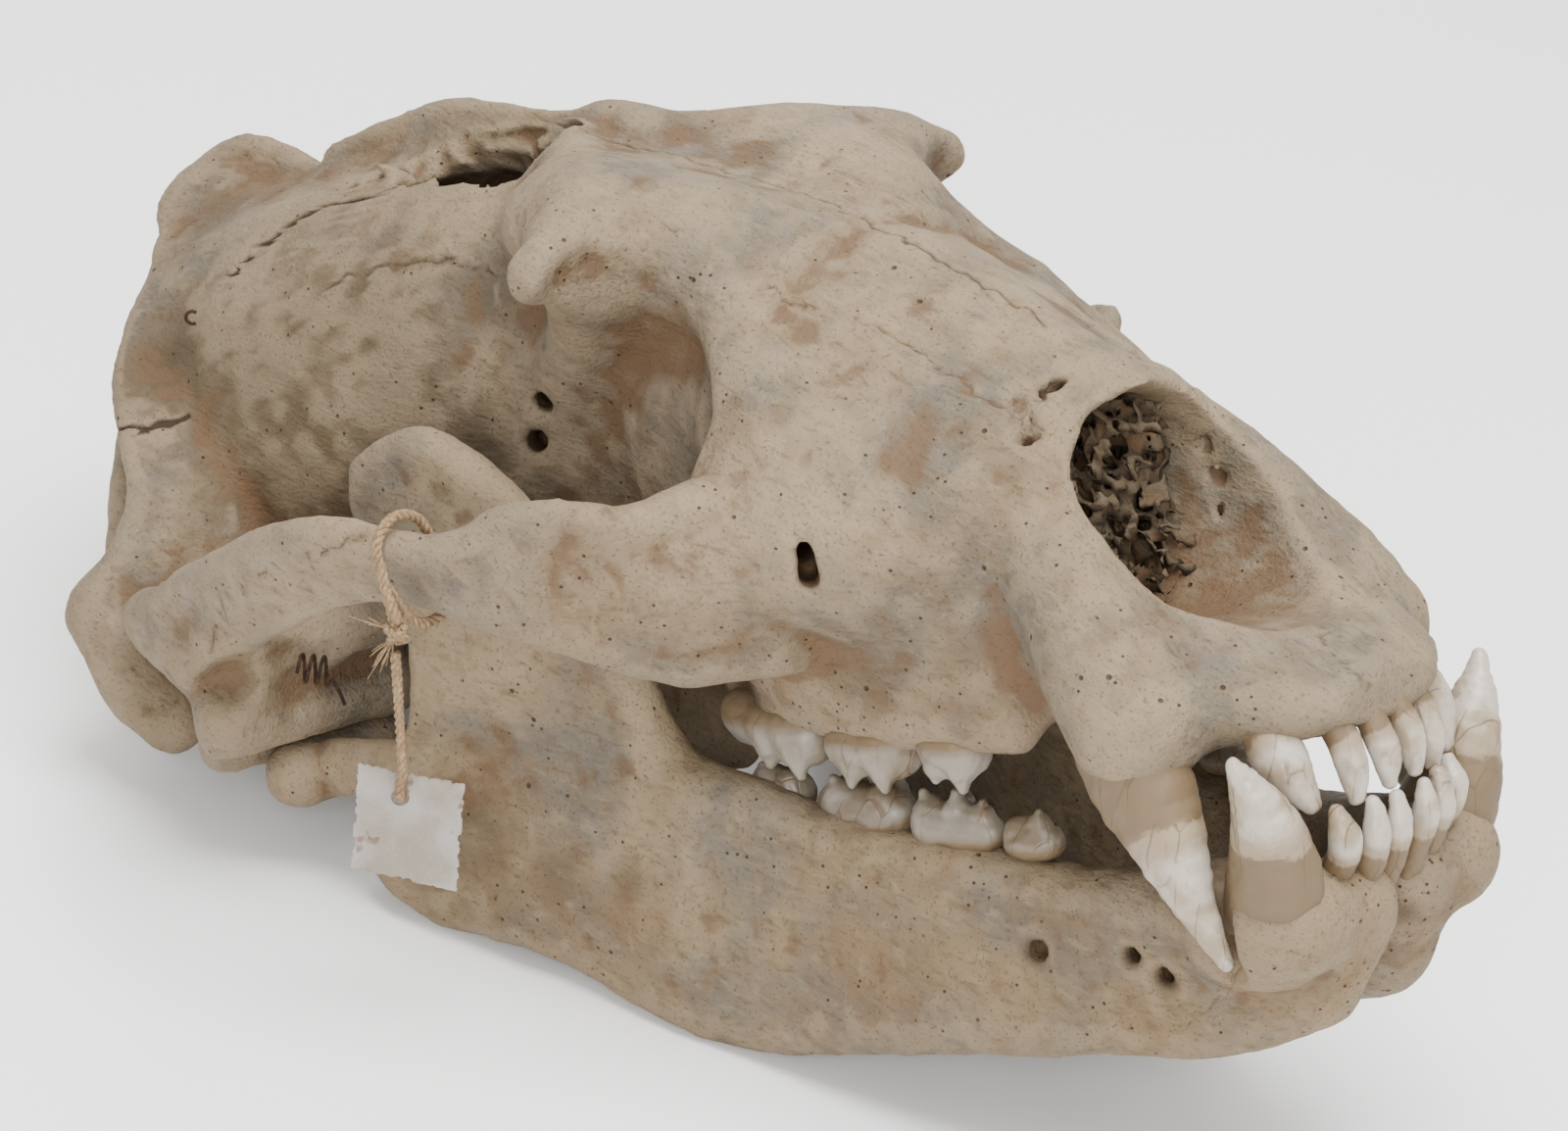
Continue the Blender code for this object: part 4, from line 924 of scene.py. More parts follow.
def muzzle(clay):
    """The snout, its nasal bones, and the two tooth rows' bone."""
    clay.add(hull([
        (165, 30, 40, 100, 6, 2.6),
        (185, 35, 36, 104, 2, 2.6),
        (205, 42, 36, 98, 0, 2.6),
        (225, 43, 34, 89, -1, 2.5),
        (245, 39, 30, 79, -1, 2.4),
        (262, 36, 24, 71, -1, 2.4),
        (272, 36, 19, 66, -1, 2.4),
        (279, 36, 16, 52, -1, 2.5),
        (287, 36, 14, 37, -1, 2.6),
        (300, 34.5, 11, 27, -1, 2.6),
        (312, 30, 9, 20, -1, 2.5),
        (322, 24, 8, 15, 0, 2.3),
        (329, 15, 7, 11, 2, 2.2),
    ]), 8)
    clay.add(both_sides(limb([(295, -36, 8, 13.5), (288, -34, 18, 13), (274, -30, 37, 10),
                              (256, -27, 50, 7)])), 8)
    clay.add(limb([(215, 0, 84, 12), (240, 0, 74, 11), (262, 0, 64, 8), (276, 0, 60, 5)]), 8)
    clay.add(both_sides(plate(
        [(186, -36, 9, 5), (210, -38, 6.5, 6), (235, -38, 5, 6), (262, -35, 5, 6)],
        [(186, -36, 14, 5), (210, -40, 14, 6), (235, -38, 13, 6), (256, -34, 13, 6)],
    )), 7)
    clay.cut(ball((238, 0, -7), (78, 25, 13)), 5)


def brow(clay):
    """Frontal domes and the hooked processes behind the eyes."""
    clay.add(both_sides(ball((168, -24, 100), (34, 23, 16), (0, 12, 12))), 12)
    clay.add(both_sides(limb([(158, -30, 105, 9), (167, -42, 104, 9.5), (173, -53, 102, 8.0),
                              (172.5, -60, 100, 6.4)])), 8)
    clay.add(both_sides(limb([(172, -44, 102, 6.5), (184, -34, 98, 6), (198, -33, 88, 7),
                              (209, -40, 74, 8)])), 8)
    clay.add(both_sides(limb([(168, -38, 104, 6), (148, -22, 110, 6), (128, -6, 117, 6)])), 8)
    clay.cut(ball((180, 0, 122), (34, 17, 14), (0, 10, 0)), 8)


def cheekbone(clay):
    """The zygomatic arch with its root on the upper jaw and its root over the jaw joint."""
    clay.add(both_sides(limb([(244, -32, 36, 18), (228, -42, 42, 18), (213, -50, 42, 16),
                              (202, -62, 38, 12)])), 12)
    clay.add(both_sides(ball((214, -33, 57), (24, 22, 20), (0, 20, -20))), 10)
    clay.add(both_sides(plate(
        [(211, -63, 54, 5.5), (199, -75, 52, 5), (190, -84, 59, 4.5), (178, -95, 53, 4.5),
         (165, -101, 53, 4.5), (149, -103, 56, 4.5), (135, -104, 54.5, 4.5), (120, -102.5, 51, 4.5),
         (104, -100, 45, 4.5), (88, -96, 40, 5), (72, -91, 33, 5), (58, -86, 30, 5)],
        [(214, -50, 24, 8), (201, -63, 23, 6), (191, -78, 30, 5), (178, -91, 39, 4.5), (165, -97, 44.5, 4),
         (149, -99, 45, 4), (135, -99.5, 42, 4), (120, -99, 36, 4), (104, -97, 27, 4),
         (90, -92, 16, 5), (76, -84, 14, 5), (64, -76, 16, 5)],
        24,
    )), 5)
    clay.add(both_sides(limb([(191, -84, 58, 5), (188, -84, 65, 3.5)])), 4)
    clay.add(both_sides(plate(
        [(100, -94, 28, 5), (92, -94, 22, 6), (80, -92, 24, 6), (64, -86, 27, 6)],
        [(104, -44, 24, 7), (94, -46, 24, 8), (76, -46, 26, 9), (58, -48, 30, 9)],
    )), 8)
    clay.cut(both_sides(limb([(86, -98, 13, 5), (98, -99, 17, 8), (112, -99, 21, 8), (125, -98, 26, 6)])), 4)
    clay.add(both_sides(plate(
        [(HINGE_X + 2, -92, 10, 7), (HINGE_X + 2, -50, 6, 8)],
        [(HINGE_X - 7, -88, 2, 6), (HINGE_X - 8, -52, -3, 7)],
    )), 8)


def jaw_joint(clay):
    """The trough that each condyle turns in, open below and in front."""
    clay.cut(both_sides(limb([
        (HINGE_X, -48, HINGE_Z, CONDYLE_RADIUS + JOINT_GAP),
        (HINGE_X, -95, HINGE_Z, CONDYLE_RADIUS + JOINT_GAP),
    ])), 1)
    clay.cut(both_sides(plate(
        [(HINGE_X + 4, -48, HINGE_Z, 7), (HINGE_X + 4, -96, HINGE_Z, 7)],
        [(HINGE_X + 14, -48, HINGE_Z - 14, 12), (HINGE_X + 14, -96, HINGE_Z - 14, 12)],
    )), 2)


def back_of_head(clay):
    """The nuchal wings, the mastoid processes and the joint with the neck."""
    clay.add(both_sides(plate(
        [(9, 0, 114, 3.5), (2, -9, 110, 3.2), (3, -20, 102, 3), (16, -33, 93, 3), (22, -47, 84, 3),
         (27, -57, 75, 3), (38, -66, 65, 3.2), (45, -71, 55, 3.5), (46, -77, 42, 4.5), (39, -84, 30, 6)],
        [(40, 0, 102, 5), (37, -12, 100, 5), (34, -22, 97, 5), (36, -32, 91, 5), (40, -42, 80, 5),
         (44, -48, 70, 6), (50, -52, 60, 6), (54, -56, 48, 7), (56, -60, 38, 8), (56, -66, 28, 9)],
        26,
    )), 5)
    clay.add(both_sides(limb([(39, -83, 27, 7.5), (45, -82, 13, 8), (52, -79, 4, 8)])), 7)
    clay.add(both_sides(plate(
        [(20, -50, 60, 5), (30, -66, 42, 5), (38, -74, 22, 6)],
        [(18, -30, 40, 6), (22, -45, 22, 6), (30, -55, 8, 6)],
    )), 8)
    clay.add(both_sides(limb([(22, -40, 24, 8), (24, -50, 6, 6), (27, -52, -2, 4.5)])), 7)
    clay.add(both_sides(ball((6, -18, 27), (10, 11, 13), (0, 25, 0))), 5)
    clay.cut(both_sides(ball((-6, -24, 78), (20, 17, 26))), 6)
    clay.cut(ball((4, 0, 42), (22, 15, 12)), 3)


def crest(clay):
    """The sagittal crest: a nuchal lobe, a narrow gap and the long blade in front of it."""
    clay.add(plate(
        [(4, 0, 113, 3.2), (16, 0, 116, 3.2), (30, 0, 112, 3.2), (37, 0, 106, 3.2)],
        [(10, 0, 100, 6), (20, 0, 101, 6), (30, 0, 101, 6), (38, 0, 100, 6)],
    ), 5)
    clay.add(plate(
        [(44, 0, 114, 2.6), (56, 0, 117.5, 2.8), (72, 1, 120.5, 3), (86, 2, 123, 3.2), (104, 4, 121.5, 3.5),
         (122, 6, 119, 4), (138, 6, 116, 6)],
        [(47, 0, 104, 6), (56, 0, 104, 7), (72, 0, 106, 8), (86, 0, 108, 9), (104, 2, 108, 10),
         (122, 4, 108, 10), (138, 4, 106, 10)],
    ), 6)
    clay.cut(limb([(41, -6, 122, 2), (41, 6, 104, 1.6)]), 1)
    clay.cut(both_sides(ball((100, -14, 124), (34, 9, 8), (-35, 0, 0))), 5)


def top_hole(clay):
    """The break beside the crest, open into the hollow braincase."""
    clay.cut(rough(ball((106, -12, 113), (21, 10.5, 12), (0, -3, 8)), 1.1, 7.0, 13), 0.8)
    clay.cut(rough(ball((109, -11, 118), (23, 10, 8), (0, 4, 6)), 0.9, 6.0, 18), 0.8)
    clay.cut(rough(ball((124, -7, 117), (12, 5, 6)), 0.8, 5.0, 14), 0.8)
    clay.cut(rough(limb([(92, -9, 118, 4.5), (82, -14, 113, 2.4), (74, -20, 110, 1.2)]), 0.6, 4.0, 15), 0.6)
    clay.add(limb([(87, -14.5, 109.5, 1.6), (83.6, -18.8, 113.4, 1.5), (81.8, -20.6, 115.6, 0.9)]), 0.6)
    clay.cut(ball((100, -10, 96), (24, 20, 16)), 2)
    clay.cut(rough(ball((110, -11, 107), (21, 11, 13)), 0.7, 5.0, 19), 1)


def brain_hollow(clay):
    """The hollow that held the brain, open at the neck and through the break on top."""
    clay.cut(both_sides(ball((66, -13, 68), (47, 32, 38))), 4)
    clay.cut(limb([(8, 0, 42, 11.5), (30, 0, 48, 12), (50, 0, 58, 14)]), 3)


def underside(clay):
    """The pterygoid plates, the hollow behind the palate and the flat ear capsules."""
    clay.add(both_sides(plate(
        [(182, -17, 10, 4), (160, -15, 2, 3), (138, -15, 1, 3), (120, -16, 4, 3)],
        [(182, -22, 24, 6), (160, -18, 22, 5), (138, -18, 22, 5), (120, -20, 20, 6)],
    )), 6)
    clay.add(both_sides(ball((72, -36, 14), (16, 14, 8), (0, 0, 20))), 6)
    clay.cut(ball((150, 0, 9), (42, 11, 9)), 4)
    clay.add(both_sides(plate(
        [(174, -18, -2, 2.5), (166, -18, -15, 2.2), (152, -18, -17, 2.2), (136, -18, -5, 2.5)],
        [(174, -19, 14, 4), (164, -19, 12, 4), (150, -19, 12, 4), (134, -19, 12, 4)],
    )), 4)


def eye_sockets(clay):
    """The orbits, open behind, and the hollow between each cheekbone and the tooth row."""
    clay.cut(both_sides(ball((182, -70, 76), (26, 29, 21))), 2)
    clay.cut(both_sides(ball((195, -51, 70), (10, 12, 14))), 3)
    clay.cut(both_sides(ball((185, -54, 94), (12, 12, 12), (0, 25, 20))), 4)
    clay.cut(both_sides(limb([(205, -58, 72, 2.0), (202, -50, 70, 2.6), (208, -42, 66, 3.2)])), 1.2)
    clay.cut(both_sides(ball((150, -66, 62), (36, 30, 34))), 6)
    clay.cut(both_sides(ball((166, -60, 18), (28, 24, 26))), 8)
    clay.cut(both_sides(ball((186, -52, 8), (13, 16, 12))), 4)
    clay.add(both_sides(limb([(171, -45, 99, 5), (161, -39, 87, 4.5), (147, -32, 73, 4)])), 14)
    clay.cut(both_sides(ball((109.5, -87, 20), (8, 8, 7.5))), 2)


def nose(clay):
    """The nasal opening, its hollow and the scrolled bone inside."""
    clay.cut(hull([
        (212, 11, 44, 60, 26, 2.0),
        (235, 17, 43, 64, 22, 2.1),
        (255, 20, 42, 63, 19, 2.2),
        (266, 22.5, 42, 63, 18, 2.2),
        (274, 24, 42, 65, 18, 2.2),
        (290, 24.5, 42, 68, 18.5, 2.3),
        (305, 23, 42, 68, 19, 2.3),
        (330, 22, 42, 68, 18, 2.3),
    ]), 1.2)
    clay.cut(rough(both_sides(limb([(272, -25, 34, 0.6), (270, -25, 50, 0.8),
                                    (266, -23, 60, 1.0)])), 0.9, 5.0, 16), 0.6)
    clay.cut(rough(both_sides(limb([(266, -23, 60, 2.0), (262, -19, 66, 2.0),
                                    (265, -8, 67, 2.0)])), 0.8, 4.0, 17), 0.8)
    clay.add(both_sides(plate(
        [(206, -9, 30, 4), (226, -9, 28, 4), (244, -10, 27, 3.5), (256, -10, 28, 3)],
        [(206, -9, 54, 4), (226, -9, 55, 4), (244, -10, 54, 3.5), (253, -10, 53, 3)],
    )), 3)
    clay.add(plate(
        [(206, 0, 20, 2), (240, 0, 17, 2), (268, 0, 16, 1.6)],
        [(206, 0, 66, 2), (236, 0, 68, 2), (252, 0, 64, 1.6)],
    ), 2)


def foramina(clay):
    """The nerve holes of the cheek and the eye socket, and the pores of the face."""
    clay.cut(both_sides(limb([(230, -54, 42, 2.6), (222, -47, 43, 3.0), (214, -40, 44, 3)])), 1)
    clay.cut(both_sides(plate(
        [(243, -66, 38.5, 1.9), (227, -50, 39.5, 1.9)],
        [(243, -66, 44.5, 1.7), (227, -50, 45.5, 1.7)],
    )), 1)
    for x, y, z, size in FACE_PORES:
        clay.cut(both_sides(ball((x, y, z), (size, size, size))), 0.4)
    clay.cut(both_sides(limb([(141, -36, 67, 2.4), (132, -24, 67, 2.2)])), 1)
    clay.cut(both_sides(limb([(138, -38, 59, 3.0), (128, -24, 57, 2.6)])), 1)


def cranium():
    """The whole upper skull, both sides."""
    clay = Clay((-14, -118, -16), (338, 118, 136), BONE_STEP)
    braincase(clay)
    muzzle(clay)
    brow(clay)
    cheekbone(clay)
    eye_sockets(clay)
    back_of_head(clay)
    crest(clay)
    underside(clay)
    top_hole(clay)
    brain_hollow(clay)
    jaw_joint(clay)
    nose(clay)
    foramina(clay)
    return clay


SKULL_CREAM = (0.232, 0.177, 0.115)
SKULL_TAN = (0.152, 0.108, 0.063)
SKULL_GREY = (0.112, 0.096, 0.074)
SKULL_RUST = (0.122, 0.070, 0.031)
SKULL_TRIANGLES = 172000
SKULL_CRACKS = (
    (((51, -45, 94), (56, -41, 98.5), (64, -34.6, 103.7), (73, -29, 108), (86, -25, 110.5),
      (92, -22, 112)), 0.60, 1.0),
    (((89, -44.5, 94), (102, -41, 97), (114, -37.5, 98), (128, -35, 95.5), (140, -34, 92)), 0.40, 0.5),
    (((136, -8, 119), (143, -2, 115.5), (157, 0, 112), (174, 0.7, 108), (184, 1, 105.8), (202, -1, 101),
      (218, -2, 95), (233, -2, 88), (242, -2, 84), (256, -2, 78)), 0.42, 0.5),
    (((207, -31, 92), (215, -26, 87), (230, -23, 81), (242, -22, 75), (253, -22, 69),
      (268, -22, 62)), 0.36, 0.4),
    (((99, -102, 28), (105, -103, 36), (116, -105, 44), (134, -107, 50), (149, -107, 54),
      (159, -105, 57)), 0.40, 0.45),
    (((33, -70, 66), (38, -68, 66), (43, -65, 66), (48, -58, 66.5)), 0.60, 1.0),
    (((315, -3.7, 17.7), (322, -5.5, 14.7), (328, -7, 9.8)), 0.35, 0.4),
    (((200, -77, 54), (204, -73, 44), (207, -70, 36), (212, -66, 28)), 0.28, 0.2),
)
SKULL_STAINS = (
    (82, -54, 72, 22, 0.35), (86, -53, 55, 16, 0.55), (60, -52, 50, 14, 0.4), (53, -87, 5, 14, 0.7),
    (36, -86, 26, 16, 0.55), (32, -57, 76, 14, 0.45), (25, -15, 107, 20, 0.5), (294, -35, 20, 12, 0.3),
    (210, -69, 31, 12, 0.3), (193, -84, 38, 10, 0.25), (262, -38, 6, 14, 0.45), (230, -44, 9, 14, 0.45),
    (206, -46, 12, 12, 0.45), (300, 0, 19, 16, 0.75), (108, -96, 20, 14, 0.4),
    (70, -30, 112, 12, 0.4), (316, -20, 8, 10, 0.4), (152, -104, 50, 10, 0.3), (60, 54, 50, 18, 0.45),
    (36, 86, 26, 16, 0.55), (230, 44, 9, 14, 0.45), (262, 38, 6, 14, 0.45), (110, 0, 8, 26, 0.45),
    (200, 0, 6, 20, 0.35),
)
SKULL_SHADES = (
    (104, -12, 100, 17, 0.95), (120, -6, 112, 7, 0.9), (228, -56, 43, 5.5, 0.9), (139, -28, 68, 4.5, 0.95),
    (136, -28, 58, 5, 0.95), (192, -42, 10, 13, 0.75), (234, 0, 42, 28, 0.95), (250, 8, 28, 14, 0.6),
    (196, -30, 0, 14, 0.6), (176, -30, 8, 16, 0.7),
    (12, 0, 42, 14, 0.8), (70, 0, 68, 40, 0.85), (214, -54, 70, 7, 0.4), (228, 56, 43, 5.5, 0.9),
    (192, 42, 10, 13, 0.7), (96, -70, 10, 9, 0.4),
)
# Dark smudges on the skull: some dirt, and painted shade over the braincase's sides and the underside.
SKULL_GRIME_AND_SHADE = (
    (74, -54, 66, 42, 0.8), (104, -44, 86, 28, 0.75), (48, -54, 74, 30, 0.75),
    (64, -56, 72, 26, 0.95), (88, -50, 84, 24, 0.9), (108, -44, 74, 22, 0.85), (58, -54, 46, 24, 0.95),
    (92, -52, 52, 24, 0.95), (120, -38, 60, 18, 0.7), (44, -52, 88, 18, 0.7), (70, -36, 104, 20, 0.65),
    (100, -30, 104, 16, 0.5), (126, -34, 90, 16, 0.5), (28, -62, 70, 16, 0.45), (34, -70, 50, 16, 0.55),
    (94, -92, 20, 18, 0.6), (112, -98, 34, 14, 0.35), (52, -82, 10, 14, 0.6), (24, -20, 104, 16, 0.4),
    (56, 0, 116, 10, 0.35), (236, -46, 28, 18, 0.35), (254, -40, 18, 16, 0.35), (252, -38, 40, 16, 0.45),
    (214, -46, 30, 16, 0.35), (286, -40, 10, 12, 0.25), (222, -60, 28, 16, 0.3), (240, 0, 84, 10, 0.2),
    (64, 56, 60, 34, 0.9), (100, 46, 64, 28, 0.85), (34, 70, 50, 20, 0.55), (236, 46, 28, 18, 0.35),
    (60, 0, 10, 40, 0.6), (150, 0, 12, 40, 0.5),
)
SKULL_PORES = (
    (300, -34, 18, 16, 0.25), (312, -20, 14, 14, 0.3), (262, -36, 6, 10, 0.5), (230, -44, 6, 12, 0.45),
    (205, -44, 8, 12, 0.4), (176, -60, 100, 14, 0.35), (196, -44, 94, 12, 0.3), (248, -40, 46, 20, 0.15),
    (206, -56, 72, 12, 0.3), (296, 30, 18, 16, 0.25), (176, 60, 100, 14, 0.35), (150, -102, 48, 30, 0.12),
)

skull_points, skull_faces = largest_body(*cranium().surface())
skull_look = bone_finish("skull_bone", SKULL_CREAM, SKULL_TAN, SKULL_GREY, SKULL_RUST)
skull = bone_piece("upper_skull_bone", skull_points, skull_faces, skull_look, SKULL_TRIANGLES,
                   SKULL_CRACKS, SKULL_STAINS, SKULL_SHADES, SKULL_GRIME_AND_SHADE, SKULL_PORES)
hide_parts("cranium")
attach(skull, "upper_skull")

# The scrolls inside the nose: paper-thin crumpled sheets of bone, dark brown with painted shade making
# them darker still, that fill the hollow behind the opening. They grow from the walls of the same bone.
SCROLL_STEP = 0.55
SCROLL_SWELL = 8.0
SCROLL_THICKNESS = 0.8
SCROLL_FRONT_X = 267
SCROLL_TRIANGLES = 60000
SCROLL_SHADES = ((232, 0, 40, 30, 0.9),)
# The scrolls' colours: dark brown bone, made darker still as painted shade of the deep nose.
SCROLL_EDGE = (0.095, 0.070, 0.043)
SCROLL_BROWN = (0.045, 0.030, 0.017)
SCROLL_DARK = (0.022, 0.014, 0.008)


def scrolls():
    clay = Clay((204, -24, 14), (279, 24, 70), SCROLL_STEP)
    room_inside, low, high = hull([
        (206, 10, 44, 59, 27, 2.0),
        (235, 16, 43, 63, 22, 2.1),
        (250, 19, 42, 62, 20, 2.2),
        (276, 22, 42, 62, 18, 2.2),
    ])

    def crumpled(x, y, z):
        sheet = waves(x, 1.2 * y, z, SCROLL_SWELL, 31) + 0.30 * waves(x, y, z, 3.6, 32)
        thin = np.abs(sheet) * 1.15 - 0.5 * SCROLL_THICKNESS
        front = x - SCROLL_FRONT_X - 3.5 * waves(x, y, z, 7.0, 33) + 0.12 * y
        return np.maximum(np.maximum(thin, room_inside(x, y, z) - 0.8), front)

    clay.add((crumpled, low, high))
    return clay


scroll_look = bone_finish("scroll_bone", SCROLL_EDGE, SCROLL_BROWN, SCROLL_DARK, SCROLL_DARK)
scroll_points, scroll_faces = largest_body(*scrolls().surface())
scroll = bone_piece("nose_scrolls", scroll_points, scroll_faces, scroll_look, SCROLL_TRIANGLES,
                    shades=SCROLL_SHADES)
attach(scroll, "upper_skull")

# The upper teeth: like the lower ones, in the sockets of the skull. The canines are the
# largest, stained tan over their upper half and cracked along their length.
UPPER_TEETH = {
    "incisor_1": ("peg", [(320, -4, 12, 2.4), (327, -4, 2, 3.0), (329.5, -4, -5, 2.9),
                          (329.5, -3.9, -10, 1.6)]),
    "incisor_2": ("peg", [(318, -11, 12, 2.6), (325, -11.8, 2, 3.3), (327.5, -12.2, -5, 3.2),
                          (327.5, -12, -11, 1.7)]),
    "incisor_3": ("peg", [(307, -18, 14, 3.8), (315, -21.5, 4, 5.2), (320, -22.5, -3, 5.0),
                          (323.5, -21, -10, 2.2)]),
    "canine": ("fang", [(283, -32, 18, 7), (293.5, -37, 2, 11.2), (300.2, -38, -11, 9.1),
                        (304.7, -37.5, -25, 5.2), (309, -34.8, -39.3, 1.7)]),
    "premolar_4": ("cheek", [(250, -39, -8, 1.5), (244, -40, -6, 1.5), (246, -32, -4, 1.8)],
                   [(251.5, -37, -0.5, 4.6), (244.2, -37.5, -0.5, 4.3)]),
    "molar_1": ("cheek", [(231.5, -42, -8.6, 1.5), (222, -42, -8.2, 1.5), (231, -33, -5, 2),
                          (221.5, -33.5, -5, 2)],
                [(231.7, -37.5, -0.8, 6.5), (220.9, -38, -0.5, 6.4)]),
    "molar_2": ("cheek", [(208, -42, -7.8, 1.6), (199, -41.5, -6, 1.8), (207, -33, -4.8, 2),
                          (197, -33, -3.4, 2),
                 (188, -36.5, -2, 2)],
                [(206.7, -37.5, -0.2, 6.8), (198, -37, 1, 6.4), (188, -36, 3, 5.2)]),
}

tooth_row("upper", UPPER_TEETH, "upper_skull")

# The twine: brown three-strand string tied round the right cheekbone, with a knot on its
# outer side and short frayed ends. It hangs by its own loop; the tag is tied below it.
ARCH_TOP = (166.0, -101.0, 53.3)
ARCH_FOOT = (166.0, -97.3, 44.6)
LOOP_OFFSET = 7.1
TWINE_RADIUS = 1.2
STRAND_SHARE = 0.52
TWIST_LENGTH = 5.0
KNOT = (168.0, -108.0, 38.0)
TWINE_TAN = (0.15, 0.088, 0.040)
TWINE_PALE = (0.26, 0.178, 0.095)
TWINE_BROWN = (0.17, 0.10, 0.055)
TWINE_SIDES = 7


def world_up():
    return np.array([math.sin(NOSE_UP), 0.0, math.cos(NOSE_UP)])


def level_direction(heading):
    """A level direction in the resting skull, in the skull's own frame."""
    return np.array([
        math.cos(heading) * math.cos(NOSE_UP),
        math.sin(heading),
        -math.cos(heading) * math.sin(NOSE_UP),
    ])


def frames_along(path):
    """Two directions square to the path at each point, turning as little as they can."""
    run = np.gradient(path, axis=0)
    run /= np.linalg.norm(run, axis=1)[:, None]
    side = np.cross(run[0], (0.3, 0.5, 0.8))
    sides = []
    for heading in run:
        side = side - (side @ heading) * heading
        side = side / np.linalg.norm(side)
        sides.append(side)
    sides = np.array(sides)
    return sides, np.cross(run, sides)


def tube_mesh(name, tubes, finish, around):
    """Closed tubes in skull millimetres, each a path and its radius at every point."""
    points = []
    faces = []
    for path, radii in tubes:
        sides, tops = frames_along(path)
        first = len(points)
        turn = np.linspace(0, 2 * math.pi, around, endpoint=False)
        for centre, side, top, radius in zip(path, sides, tops, radii):
            points.extend(centre + radius * (np.cos(a) * side + np.sin(a) * top) for a in turn)
        for ring in range(len(path) - 1):
            for k in range(around):
                a = first + ring * around + k
                b = first + ring * around + (k + 1) % around
                faces.append((a, b, b + around, a + around))
        last = first + (len(path) - 1) * around
        faces.append(tuple(first + k for k in reversed(range(around))))
        faces.append(tuple(last + k for k in range(around)))
    mesh = bpy.data.meshes.new(name)
    mesh.from_pydata([AT_REST @ Vector(row) for row in points], [], faces)
    mesh.materials.append(finish)
    mesh.shade_smooth()
    item = bpy.data.objects.new(name, mesh)
    bpy.context.scene.collection.objects.link(item)
    return item


def twisted(path, radius, strands=3):
    """The strands of a string that follow the path, laid round each other."""
    sides, tops = frames_along(path)
    length = np.concatenate([[0.0], np.cumsum(np.linalg.norm(np.diff(path, axis=0), axis=1))])
    found = []
    for k in range(strands):
        turn = 2 * math.pi * (length / TWIST_LENGTH + k / strands)
        reach = radius * (1 - STRAND_SHARE)
        lane = path + reach * (np.cos(turn)[:, None] * sides + np.sin(turn)[:, None] * tops)
        found.append((lane, np.full(len(path), radius * STRAND_SHARE)))
    return found


def twine_finish():
    """Old jute: pale and dark fibres that run along the string, dull and hairy."""
    finish, tree, shader, where = new_finish("twine")
    fibre = grain(tree, where, 1900.0, 5.0, (1.0, 1.0, 0.3))
    cloud = grain(tree, where, 160.0, 3.0)
    colour = tint(tree, band(tree, fibre, 0.36, 0.64), TWINE_TAN, TWINE_PALE)
    colour = tint(tree, band(tree, cloud, 0.50, 0.72, 0.0, 0.5), colour, TWINE_BROWN)
    roughness = band(tree, fibre, 0.3, 0.7, 0.80, 0.95)
    surface_nodes(tree, shader, colour, roughness, fibre, 0.7, 0.0003)
    return finish


def loop_route():
    """Once round the cheekbone and on to the knot."""
    top = np.array(ARCH_TOP)
    foot = np.array(ARCH_FOOT)
    up = (top - foot) / np.linalg.norm(top - foot)
    out = np.array([0.0, -up[2], up[1]])
    knot = np.array(KNOT)
    ring = [knot]
    for centre, turns in ((top, range(0, 181, 30)), (foot, range(180, 361, 30))):
        for turn in turns:
            angle = math.radians(turn)
            ring.append(centre + LOOP_OFFSET * (math.cos(angle) * out + math.sin(angle) * up))
    ring.append(ring[1] + (0.4, 0.0, -3.0))
    ring.append(knot + (1.2, 0.0, 2.2))
    return ring


def knot_turns():
    """The knot itself: two small turns drawn tight over the crossing."""
    knot = np.array(KNOT)
    rows = []
    for turn in range(0, 721, 40):
        angle = math.radians(turn)
        rise = 1.7 * math.sin(angle * 0.5 + 0.4)
        rows.append(knot + (1.7 * math.cos(angle), 1.5 * math.sin(angle), rise))
    return rows


twine_look = twine_finish()
tubes = []
for route, size in ((loop_route(), TWINE_RADIUS), (knot_turns(), 0.8 * TWINE_RADIUS)):
    tubes += twisted(smooth_path(route, 12 * len(route)), size)
frayed = np.random.default_rng(5)
for root, heading, hairs in (
    (np.array(KNOT) + (-1.0, -0.6, -1.4), np.array((-0.62, -0.16, -0.78)), 16),
    (np.array(KNOT) + (-1.4, -0.4, 1.2), np.array((-0.88, -0.22, 0.35)), 9),
):
    for _ in range(hairs):
        aim = heading + frayed.normal(0, 0.20, 3)
        reach = frayed.uniform(3.5, 6.8)
        bend = frayed.normal(0, 0.8, 3)
        start = root + frayed.normal(0, 0.35, 3)
        rows = [start, root + 0.5 * reach * aim + bend, root + reach * aim + 1.6 * bend]
        tubes.append((smooth_path(rows, 8), np.linspace(0.22, 0.07, 8)))
loop = tube_mesh("twine_loop", tubes, twine_look, TWINE_SIDES)
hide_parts("string_loop")
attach(loop, "upper_skull")

# The paper tag: thin torn card, yellowed and rust-spotted and blank, curled a little along
# its edges. It hangs on the twine by a punched hole near its top.
TAG_HOLE = (159.3, -107.0, 3.1)
TAG_HEADING = math.radians(41.6)
TAG_CORNERS = ((-9.0, 6.7), (12.8, 4.6), (13.2, -20.3), (-8.9, -17.5))
TAG_THICKNESS = 0.5
TAG_HOLE_RADIUS = 1.9
TAG_ROWS = 56
TAG_CURL = 0.25
TEAR = 0.45
PAPER_WHITE = (0.285, 0.262, 0.240)
PAPER_YELLOW = (0.200, 0.162, 0.120)
RUST_SPOT = (0.120, 0.052, 0.020)


def tag_normal():
    return level_direction(TAG_HEADING - math.pi / 2)


